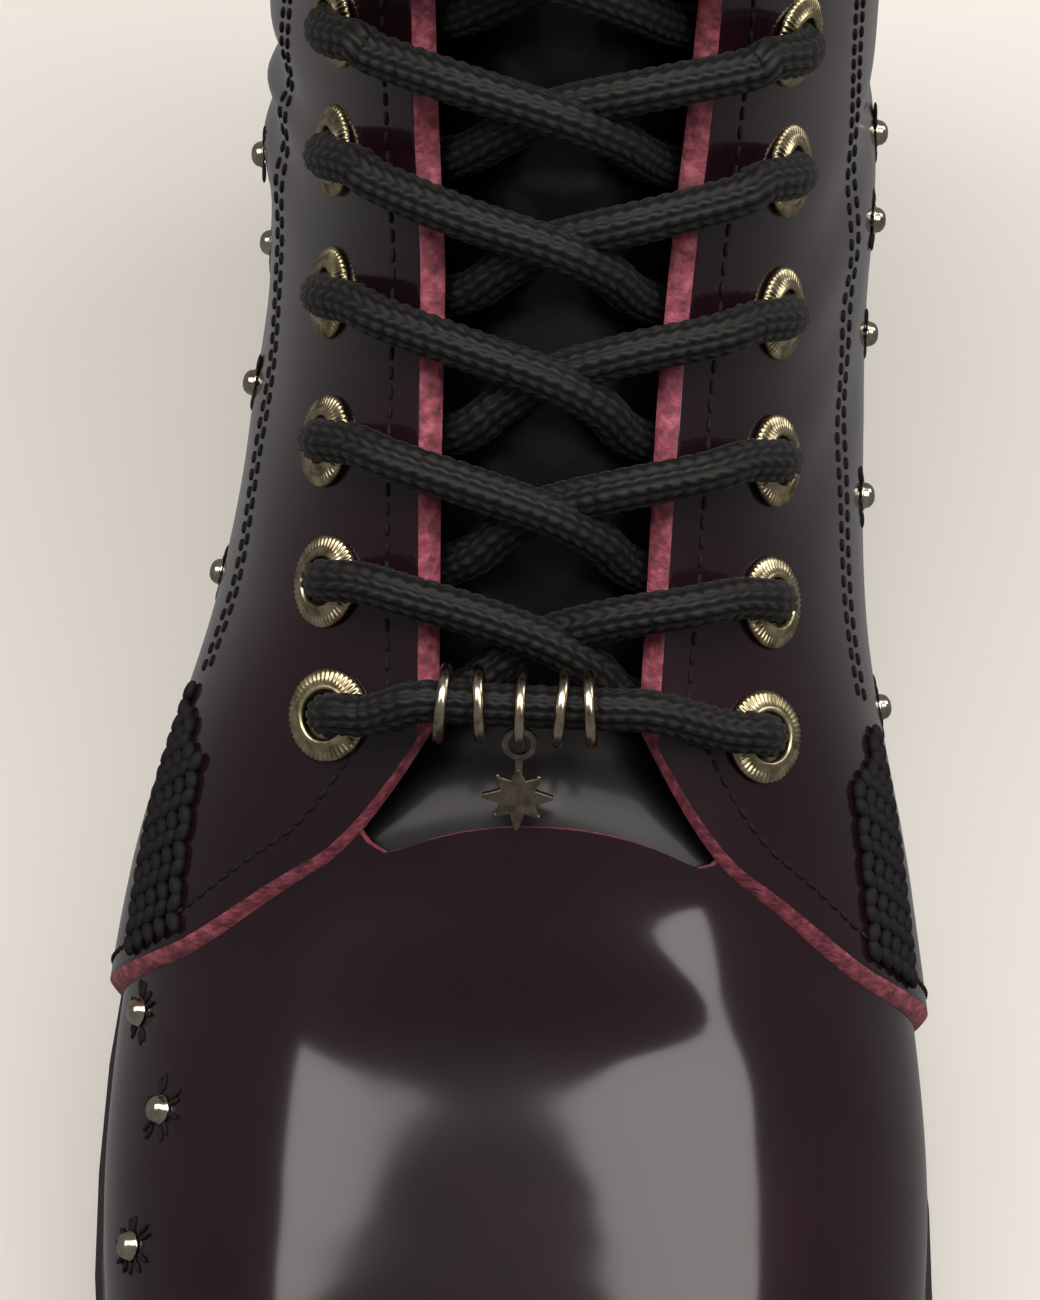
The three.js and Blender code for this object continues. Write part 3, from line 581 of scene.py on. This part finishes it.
# Lace
# A round cord braided from black yarns in twelve columns that slant to and fro, so that its face
# shows rows of small Vs. It runs from eyelet to eyelet and stops inside the top pair.
lace_cord = new_material("lace_cord", (0.009, 0.008, 0.007), 0.55)
set_input(lace_cord, "Sheen Weight", 0.04)
set_input(lace_cord, "Specular IOR Level", 0.2)
# The colour follows the braid's relief height: painted shade, near black, in the grooves between the yarns
# and painted light on the crowns.
braid_shade_node = lace_cord.node_tree.nodes.new("ShaderNodeAttribute")
braid_shade_node.attribute_name = "braid_relief_shade"
feed(lace_cord, add_ramp(lace_cord, braid_shade_node.outputs["Fac"], [
    (0.1, (0.0008, 0.0008, 0.0007)),
    (0.75, (0.0042, 0.0040, 0.0034)),
    (1.0, (0.014, 0.0135, 0.011)),
]), "Base Color")
LACE_RADIUS = 2.5
BRAID_COLUMNS = 12
BRAID_PITCH = 1.9
CORD_SIDES = 48
CORD_STEP = 0.00035
# Heights of the lace's middle over the last: on an eyelet, on a facing and on the tongue
OVER_EYELET = 7.7
OVER_FACING = QUARTER_WALL + LACE_RADIUS + 1.0
IN_THROAT = -5.6 + LACE_RADIUS + 1.2


def smooth_path(points, step):
    """Points every step along a smooth curve through the given ones, in metres."""
    given = np.array(points, float)
    padded = np.vstack([2 * given[0] - given[1], given, 2 * given[-1] - given[-2]])
    fine = []
    for index in range(len(given) - 1):
        a, b, c, d = padded[index:index + 4]
        share = np.linspace(0, 1, 40, endpoint=False)[:, None]
        cubic = 3 * (b - c) + d - a
        square = 2 * a - 5 * b + 4 * c - d
        fine.append(b + 0.5 * share * (c - a + share * (square + share * cubic)))
    fine = np.vstack(fine + [given[-1:]])
    length = np.concatenate([[0], np.cumsum(np.linalg.norm(np.diff(fine, axis=0), axis=1))])
    count = max(8, int(length[-1] / step))
    places = np.linspace(0, length[-1], count)
    return np.stack([np.interp(places, length, fine[:, k]) for k in range(3)], 1), places


def carried_frames(path):
    """Two directions across the path that turn as little as they can along it."""
    tangents = np.gradient(path, axis=0)
    tangents /= np.linalg.norm(tangents, axis=1, keepdims=True)
    side = np.cross(tangents[0], (0.0, 0.6, -0.8))
    sides = []
    for tangent in tangents:
        side = side - tangent * side.dot(tangent)
        side = side / np.linalg.norm(side)
        sides.append(side)
    sides = np.array(sides)
    return sides, np.cross(tangents, sides)


def braided_cord(name, points):
    path, places = smooth_path(points, CORD_STEP)
    sides, others = carried_frames(path)
    bm = bmesh.new()
    bmesh.ops.create_grid(bm, x_segments=CORD_SIDES, y_segments=len(path) - 1, size=0.5)
    share = np.array([vertex.co[:2] for vertex in bm.verts]) + 0.5
    turn = share[:, 0] * 2 * math.pi
    index = np.rint(share[:, 1] * (len(path) - 1)).astype(int)
    column = share[:, 0] * BRAID_COLUMNS
    part = column - np.floor(column)
    slant = np.where(np.floor(column) % 2 == 0, part, 1 - part)
    wave = np.abs(np.sin(math.pi * (places[index] * 1000 / BRAID_PITCH + 0.75 * slant)))
    braid_relief_shade = wave ** 0.5 * np.clip(np.sin(math.pi * part), 0, 1) ** 0.35
    radius = (LACE_RADIUS - 0.32 + 0.42 * braid_relief_shade) / 1000
    points = path[index] + radius[:, None] * (np.cos(turn)[:, None] * sides[index]
                                              + np.sin(turn)[:, None] * others[index])
    # The relief is stored on the vertices for the lace's colour, which paints shade into the grooves and
    # light onto the crowns.
    layer = bm.verts.layers.float.new("braid_relief_shade")
    for vertex, point, height in zip(bm.verts, points, braid_relief_shade):
        vertex.co = point
        vertex[layer] = height
    bmesh.ops.remove_doubles(bm, verts=bm.verts, dist=2e-6)
    bmesh.ops.holes_fill(bm, edges=[edge for edge in bm.edges if edge.is_boundary])
    bmesh.ops.recalc_face_normals(bm, faces=bm.faces)
    piece = join_object(name, bm, [lace_cord])
    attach(piece, "boot")
    return piece


def into_eyelet(row, hand):
    """From beside an eyelet over its rim and down into it."""
    return [on_facing(row, hand * (EYELET_HALF - 6.5), OVER_EYELET),
            on_facing(row, hand * (EYELET_HALF - 3.2), OVER_EYELET - 0.1),
            on_facing(row, hand * (EYELET_HALF - 0.7), OVER_EYELET - 2.2),
            on_facing(row, hand * EYELET_HALF, 2.5),
            on_facing(row, hand * EYELET_HALF, -1.5)]


def strand_points(row, hand, height):
    """From inside an eyelet under the facing, over the throat at a height and to the next row."""
    low = float(throat_half(section_at(row)))
    high = float(throat_half(section_at(row + 1)))
    return [on_facing(row, -hand * EYELET_HALF, 1.0),
            on_facing(row, -hand * (EYELET_HALF - 0.8), -1.6),
            on_facing(row + 0.03, -hand * (EYELET_HALF - 4), -3.0),
            on_facing(row + 0.09, -hand * low, -2.9),
            on_facing(row + 0.18, -hand * (low - LACE_RADIUS - 1.5), IN_THROAT),
            on_facing(row + 0.34, -hand * 0.45 * low, (IN_THROAT + height) / 2),
            on_facing(row + 0.55, 0, height),
            on_facing(row + 0.76, hand * 0.55 * high, (height + OVER_FACING) / 2),
            on_facing(row + 0.92, hand * (high + 0.6), OVER_FACING)] + into_eyelet(row + 1, hand)


for row in range(EYELET_PAIRS - 1):
    braided_cord(f"lace_under_{row + 1}", strand_points(row, 1, IN_THROAT + 0.6))
    over = braided_cord(f"lace_over_{row + 1}", strand_points(row, -1, IN_THROAT + 1.6 * LACE_RADIUS))
    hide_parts(f"lace_crossing_{row + 1}")

# The bar lies 1.5 mm above the lowest eyelets
BAR_ROW = 1.5 / EYELET_PITCH
bar_middle = on_facing(BAR_ROW, 0, OVER_FACING)
bar_ends = {hand: into_eyelet(0, hand) for hand in (-1, 1)}
bar_straight = [(x / 1000 + last_origin[0] / 1000, bar_middle[1], bar_middle[2])
                for x in (-13.7, -7, 0, 7, 13.7)]
lace_bar = braided_cord("lace_straight_bar", bar_ends[-1][::-1] + bar_straight + bar_ends[1])
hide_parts("lace_bar")

# Rings
# Five open rings of aged wire, between brass and silver, threaded on the lowest bar of the lace.
ring_wire = new_material("ring_wire", (0.36, 0.31, 0.23), 0.2, metallic=1.0)
feed(ring_wire, add_ramp(ring_wire, add_noise(ring_wire, 900, 4.0), [
    (0.3, (0.22, 0.18, 0.12)),
    (0.6, (0.48, 0.42, 0.32)),
]), "Base Color")
add_bump(ring_wire, add_noise(ring_wire, 2500, 2.0), 0.00002, 0.4)
RING_RADIUS = 4.1
RING_WIRE = 0.68
# The middle ring carries the charm: its place across, how far it hangs down and at what angle
CHARM_ACROSS = -1.8
CHARM_RING_DROP = 0.55
CHARM_RING_HANG = 20
slope_normal = Vector(last_normal(section_at(BAR_ROW), np.array(0.0)))
slope_normal.x = 0
slope_normal.normalize()
slope_down = Vector((1, 0, 0)).cross(slope_normal)


def slope_direction(degrees):
    """Down the instep, turned towards it by an angle."""
    angle = math.radians(degrees)
    return slope_down * math.cos(angle) - slope_normal * math.sin(angle)


def bar_place(across):
    return Vector(((across + last_origin[0]) / 1000, bar_middle[1], bar_middle[2]))


def wire_ring(bm, matrix, radius, wire, steps=64):
    circle = bmesh.ops.create_circle(bm, segments=20, radius=wire / 1000,
                                     matrix=matrix @ Matrix.Translation((radius / 1000, 0, 0))
                                     @ Matrix.Rotation(math.pi / 2, 4, "X"))
    edges = list({edge for vertex in circle["verts"] for edge in vertex.link_edges})
    bmesh.ops.spin(bm, geom=circle["verts"] + edges, cent=matrix.translation,
                   axis=(matrix.to_3x3() @ Vector((0, 0, 1))), angle=2 * math.pi, steps=steps, use_merge=True)


# Body, place across in mm and tilt in degrees
rings = (
    ("first_ring", -11, -5),
    ("second_ring", -6.6, 4),
    ("charm_ring", CHARM_ACROSS, 0),
    ("fourth_ring", 2.9, -4),
    ("fifth_ring", 6.3, 5),
)
for index, (body, across, tilt) in enumerate(rings):
    place = bar_place(across)
    if body == "charm_ring":
        place = place + slope_direction(CHARM_RING_HANG) * CHARM_RING_DROP / 1000
    turn = Matrix.Rotation(math.radians(tilt), 4, slope_normal) @ Matrix.Rotation(math.pi / 2, 4, "Y")
    bm = bmesh.new()
    wire_ring(bm, Matrix.Translation(place) @ turn, RING_RADIUS, RING_WIRE)
    bmesh.ops.remove_doubles(bm, verts=bm.verts, dist=1e-7)
    bmesh.ops.recalc_face_normals(bm, faces=bm.faces)
    ring = join_object(f"wire_ring_{index + 1}", bm, [ring_wire])
    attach(ring, body)
    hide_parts(f"ring_{index + 1}")

# Charm
# A flat star stamped from dull warm pewter, with an eye, a short neck and a tiny ball on each short
# point. It hangs from the middle ring.
pewter = new_material("pewter", (0.12, 0.10, 0.08), 0.42, metallic=1.0)
feed(pewter, add_ramp(pewter, add_noise(pewter, 700, 5.0), [
    (0.3, (0.09, 0.075, 0.06)),
    (0.7, (0.22, 0.185, 0.145)),
]), "Base Color")
add_bump(pewter, add_noise(pewter, 1600, 4.0), 0.00005, 0.6)
STAR_WAIST = 2.3
STAR_DROP = 6.65
STAR_BLUNT = 0.055
CHARM_THICKNESS = 0.9
CHARM_LIE = 10
EYE_PLAY = 0.35
BALL_REACH = 3.45
BALL_RADIUS = 0.36
star_reach = (3.5, 3.4, 4.2, 3.4, 4.2, 3.4, 4.2, 3.4)
bm = bmesh.new()
corners = []
for index in range(16):
    angle = math.pi * (index / 8 + 0.5)
    reach = STAR_WAIST if index % 2 else star_reach[index // 2]
    for side in ((-1, 1) if index % 2 == 0 else (0,)):
        blunt = angle + side * STAR_BLUNT
        corners.append(bm.verts.new((reach * math.cos(blunt), reach * math.sin(blunt) - STAR_DROP,
                                     -CHARM_THICKNESS / 2)))
star = bm.faces.new(corners)
raised = bmesh.ops.extrude_face_region(bm, geom=[star])["geom"]
bmesh.ops.translate(bm, verts=[part for part in raised if isinstance(part, bmesh.types.BMVert)],
                    vec=(0, 0, CHARM_THICKNESS))
bmesh.ops.bevel(bm, geom=[edge for edge in bm.edges if abs(edge.verts[0].co.z - edge.verts[1].co.z) < 0.01],
                offset=0.12, affect="EDGES", segments=2, profile=0.5, material=-1)
for index in range(1, 8, 2):
    angle = math.pi * (index / 4 + 0.5)
    bmesh.ops.create_uvsphere(bm, u_segments=12, v_segments=8, radius=BALL_RADIUS, matrix=Matrix.Translation(
        (BALL_REACH * math.cos(angle), BALL_REACH * math.sin(angle) - STAR_DROP, 0)))
bmesh.ops.create_cube(bm, size=1, matrix=Matrix.Translation((0, -3.0, 0))
                      @ Matrix.Diagonal((0.85, 2.6, 0.8 * CHARM_THICKNESS, 1)))
eye_profile = [(1.33, -0.36), (2.0, -0.36), (2.15, -0.2), (2.15, 0.2), (2.0, 0.36), (1.33, 0.36)]
corners = [bm.verts.new((x, 0, z)) for x, z in eye_profile]
edges = [bm.edges.new((a, b)) for a, b in zip(corners, corners[1:] + corners[:1])]
bmesh.ops.spin(bm, geom=corners + edges, axis=(0, 0, 1), cent=(0, 0, 0), angle=2 * math.pi, steps=40,
               use_merge=True)
bmesh.ops.remove_doubles(bm, verts=bm.verts, dist=1e-4)
bmesh.ops.recalc_face_normals(bm, faces=bm.faces)
lie = slope_direction(CHARM_LIE)
charm_up = -lie
charm_face = Vector((1, 0, 0)).cross(charm_up)
eye_place = (bar_place(CHARM_ACROSS)
             + slope_direction(CHARM_RING_HANG) * (CHARM_RING_DROP + RING_RADIUS) / 1000
             + lie * EYE_PLAY / 1000)
hang = Matrix((Vector((1, 0, 0)), charm_up, charm_face)).transposed().to_4x4()
bmesh.ops.transform(bm, matrix=Matrix.Translation(eye_place) @ hang @ Matrix.Scale(0.001, 4), verts=bm.verts)
charm = join_object("star_charm", bm, [pewter])
for polygon in charm.data.polygons:
    polygon.use_smooth = False
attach(charm, "hanging_charm")
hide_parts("charm")

# Thread
# Black waxed thread: rows along the facings, the collar and the backstay, and heavy chain
# stitches that hold the quarters' lower corners.
thread = new_material("thread", (0.006, 0.005, 0.006), 0.75)
set_input(thread, "Specular IOR Level", 0.2)
add_bump(thread, add_noise(thread, 3000, 3.0), 0.00008, 0.7)
# Pitch, length and radius of a stitch
SEAM_STITCH = (2.3, 1.9, 0.33)
CHAIN_STITCH = (2.2, 3.4, 1.0)
CHAIN_SLANT = 0.45
ON_QUARTER = QUARTER_WALL + 0.08
# Sections and sides of the seams
ROW_INSET = 3.0
SIDE_ROWS = (0, 0.018)
SIDE_ROW_SIDE = 0.335
SIDE_ROW_START, SIDE_ROW_LENGTH = 5.6, 9.2
COLLAR_ROW_SECTION = 14.78
BACK_ROW_START, BACK_ROW_LENGTH = 10.1, 4.7
BACK_ROW_HALF = 8.3
CHAIN_ROWS = 5
CHAIN_START = 4.56

bm = bmesh.new()
bmesh.ops.create_uvsphere(bm, u_segments=6, v_segments=5, radius=1)
stitch_shape = bpy.data.meshes.new("stitch_shape")
bm.to_mesh(stitch_shape)
bm.free()


def add_stitch(bm, middle, along, normal, length, radius):
    along = Vector(along).normalized()
    normal = Vector(normal).normalized()
    across = normal.cross(along).normalized()
    turn = Matrix((along, across, along.cross(across))).transposed().to_4x4()
    shape = stitch_shape.copy()
    shape.transform(Matrix.Translation(middle) @ turn
                    @ Matrix.Diagonal((length / 2000, radius / 1000, 0.8 * radius / 1000, 1)))
    bm.from_mesh(shape)
    bpy.data.meshes.remove(shape)


def stitch_row(bm, t, side, offset, pitch, length, radius, slant=0.0):
    """Stitches at even steps along a line of sections and sides."""
    points = shell(t, side, offset + crease_height(t, side))
    lengths = np.concatenate([[0], np.cumsum(np.linalg.norm(np.diff(points, axis=0), axis=1))]) * 1000
    places = np.arange(pitch / 2, lengths[-1], pitch)
    row_t = np.interp(places, lengths, t)
    row_side = np.interp(places, lengths, side)
    middles = shell(row_t, row_side, offset + crease_height(row_t, row_side))
    ahead = np.stack([np.interp(places + 0.4, lengths, points[:, k]) for k in range(3)], 1)
    behind = np.stack([np.interp(places - 0.4, lengths, points[:, k]) for k in range(3)], 1)
    normals = last_normal(row_t, row_side)
    for index, middle in enumerate(middles):
        normal = Vector(normals[index])
        along = Matrix.Rotation(slant * (-1) ** index, 3, normal) @ Vector(ahead[index] - behind[index])
        add_stitch(bm, middle, along, normal, length, radius)


bm = bmesh.new()
fine = np.linspace(0, 1, 400)
none = 0 * fine
back_row = BACK_ROW_START + BACK_ROW_LENGTH * fine
for hand in (-1, 1):
    edge_row = quarter_place(hand, ROW_INSET)
    stitch_row(bm, *edge_row(fine[::-1] * 0.985, none), ON_QUARTER, *SEAM_STITCH)
    stitch_row(bm, *edge_row(none, fine * 0.62), ON_QUARTER, *SEAM_STITCH)
    for step in SIDE_ROWS:
        stitch_row(bm, SIDE_ROW_START + SIDE_ROW_LENGTH * fine, hand * (SIDE_ROW_SIDE + step) + none,
                   ON_QUARTER, *SEAM_STITCH)
    stitch_row(bm, COLLAR_ROW_SECTION + none, hand * (0.30 + 0.66 * fine), ON_QUARTER, *SEAM_STITCH)
    stitch_row(bm, back_row, hand * (1 - beside_back_seam(back_row, BACK_ROW_HALF)),
               QUARTER_WALL + BACKSTAY_RAISE + 0.1, *SEAM_STITCH)
rows = join_object("stitch_rows", bm, [thread])
bm = bmesh.new()
for hand in (-1, 1):
    for line in range(CHAIN_ROWS):
        side = hand * (0.29 + 0.017 * line)
        stitch_row(bm, CHAIN_START + (0.62 + 0.09 * line) * fine, side + none, QUARTER_WALL + 0.5,
                   *CHAIN_STITCH, CHAIN_SLANT)
corner = join_object("corner_stitches", bm, [thread])
for piece in (rows, corner):
    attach(piece, "boot")

# Studs
# Small domed studs of silvery brass in short staggered rows, each in a star of black thread.
stud_brass = new_material("stud_brass", (0.45, 0.40, 0.30), 0.16, metallic=1.0)
feed(stud_brass, add_ramp(stud_brass, add_noise(stud_brass, 600, 4.0), [
    (0.3, (0.30, 0.26, 0.19)),
    (0.65, (0.58, 0.53, 0.43)),
]), "Base Color")
STAR_THREADS = 11
THREAD_LENGTH = 2.6
THREAD_RADIUS = 0.36
# Radius and height, from the stud's foot to its crown
stud_profile = [(1.8, 0), (1.95, 0.15), (1.8, 0.35), (1.72, 0.45), (1.6, 0.95), (1.25, 1.4), (0.7, 1.68),
                (0, 1.75)]
# Node, count, first section, sections from one to the next, side, stagger of every other one, wall
stud_rows = (
    ("stud_vamp", 4, 3.1, 0.42, -0.31, -0.05, VAMP_WALL),
    ("stud_outer", 4, 6.1, 0.8, -0.46, 0.04, QUARTER_WALL),
    ("stud_inner", 5, 5.7, 0.8, 0.46, -0.04, QUARTER_WALL),
)
star_threads = bmesh.new()
for name, count, first, step, start, stagger, wall in stud_rows:
    for index in range(count):
        t = np.array(first + step * index)
        side = np.array(start + stagger * (index % 2))
        normal = Vector(last_normal(t, side))
        place = Vector(shell(t, side, wall + 0.05 + crease_height(t, side)))
        turn = Vector((0, 0, 1)).rotation_difference(normal).to_matrix()
        bm = bmesh.new()
        corners = [bm.verts.new((radius / 1000, 0, height / 1000)) for radius, height in stud_profile]
        edges = [bm.edges.new(pair) for pair in zip(corners, corners[1:])]
        bmesh.ops.spin(bm, geom=corners + edges, axis=(0, 0, 1), cent=(0, 0, 0), angle=2 * math.pi, steps=28,
                       use_merge=True)
        bmesh.ops.remove_doubles(bm, verts=bm.verts, dist=1e-6)
        bmesh.ops.holes_fill(bm, edges=[edge for edge in bm.edges if edge.is_boundary])
        bmesh.ops.recalc_face_normals(bm, faces=bm.faces)
        bmesh.ops.transform(bm, matrix=Matrix.Translation(place) @ turn.to_4x4(), verts=bm.verts)
        stud = join_object(f"domed_{name}_{index + 1}", bm, [stud_brass])
        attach(stud, "boot")
        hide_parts(f"{name}_{index + 1}")
        for spoke in range(STAR_THREADS):
            angle = 2 * math.pi * (spoke + 0.3 * math.sin(3 * spoke + index)) / STAR_THREADS
            way = turn @ Vector((math.cos(angle), math.sin(angle), 0))
            reach = 2.9 + 0.5 * math.sin(5 * spoke + 2 * index)
            add_stitch(star_threads, place + way * reach / 1000, way, normal, THREAD_LENGTH, THREAD_RADIUS)
star_threads = join_object("stud_threads", star_threads, [thread])
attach(star_threads, "boot")

# Sole
# Black rubber outsole and heel with a fine moulded grain, a satin welt stitched on with black
# thread, and a matt sock on the insole.
sole_rubber = new_material("sole_rubber", (0.012, 0.011, 0.012), 0.6)
feed(sole_rubber, add_ramp(sole_rubber, add_noise(sole_rubber, 60, 4.0), [
    (0.3, (0.008, 0.0075, 0.008)),
    (0.7, (0.018, 0.016, 0.017)),
]), "Base Color")
add_bump(sole_rubber, add_noise(sole_rubber, 1400, 4.0), 0.00012, 0.6)
welt = new_material("welt", (0.014, 0.010, 0.012), 0.38, coat=0.25, coat_roughness=0.2)
add_bump(welt, add_noise(welt, 900, 4.0), 0.00012, 0.5)
sole_materials = {"outsole": sole_rubber, "heel": sole_rubber, "midsole": welt, "insole": lining_cloth}
for name, material in sole_materials.items():
    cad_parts[name].material_slots[0].material = material
WELT_INSET = 2.3
WELT_PITCH = 3.2
WELT_STITCH = (2.6, 0.45)
bm = bmesh.new()
around = np.linspace(0.12, HEEL_SECTION - 0.02, 900)
at, reach_outer, reach_inner = footprint_at(around)
for hand, reach in ((-1, reach_outer), (1, reach_inner)):
    rim_y = at * (SOLE_LENGTH / 2 - WELT_INSET)
    line = np.stack([hand * reach * (HALF_BALL - WELT_INSET), rim_y, seat(rim_y) + 0.15], 1) + last_origin
    lengths = np.concatenate([[0], np.cumsum(np.linalg.norm(np.diff(line, axis=0), axis=1))])
    for place in np.arange(1.5, lengths[-1], WELT_PITCH):
        middle, before, after = (np.array([np.interp(spot, lengths, line[:, k]) for k in range(3)]) / 1000
                                 for spot in (place, place - 0.5, place + 0.5))
        add_stitch(bm, middle, after - before, (0, 0, 1), *WELT_STITCH)
welt_stitches = join_object("welt_stitches", bm, [thread])
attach(welt_stitches, "boot")

# Floor and light
# A pale floor, which the leather doesn't mirror, under two soft boxes whose reflections run down
# both sides of the vamp, and a third that lights the inner side from behind.
floor_material = new_material("floor", (0.66, 0.64, 0.60), 0.9)
bm = bmesh.new()
bmesh.ops.create_grid(bm, x_segments=1, y_segments=1, size=4)
floor = join_object("floor", bm, [floor_material])
floor.visible_glossy = False

world = bpy.data.worlds.new("studio")
world.use_nodes = True
world.node_tree.nodes["Background"].inputs["Color"].default_value = (1.0, 0.97, 0.94, 1)
world.node_tree.nodes["Background"].inputs["Strength"].default_value = 0.2
bpy.context.scene.world = world


def soft_box(name, place, target, width, height, watts, colour):
    data = bpy.data.lights.new(name, "AREA")
    data.shape = "RECTANGLE"
    data.size = width
    data.size_y = height
    data.energy = watts
    data.color = colour
    light = bpy.data.objects.new(name, data)
    light.location = place
    light.rotation_euler = (Vector(target) - Vector(place)).to_track_quat("-Z", "Y").to_euler()
    bpy.context.scene.collection.objects.link(light)


BOX_AIM = (0, 0, 0.08)
soft_box("left_box", (-0.44, -0.02, 1.05), BOX_AIM, 0.56, 1.1, 10, (1.0, 0.95, 0.92))
soft_box("right_box", (0.40, -0.1, 1.06), BOX_AIM, 0.62, 1.2, 12, (1.0, 0.96, 0.93))
soft_box("side_box", (0.95, 0.5, 0.6), BOX_AIM, 0.4, 0.7, 3, (1.0, 0.97, 0.95))
bpy.context.scene.view_settings.view_transform = "Standard"
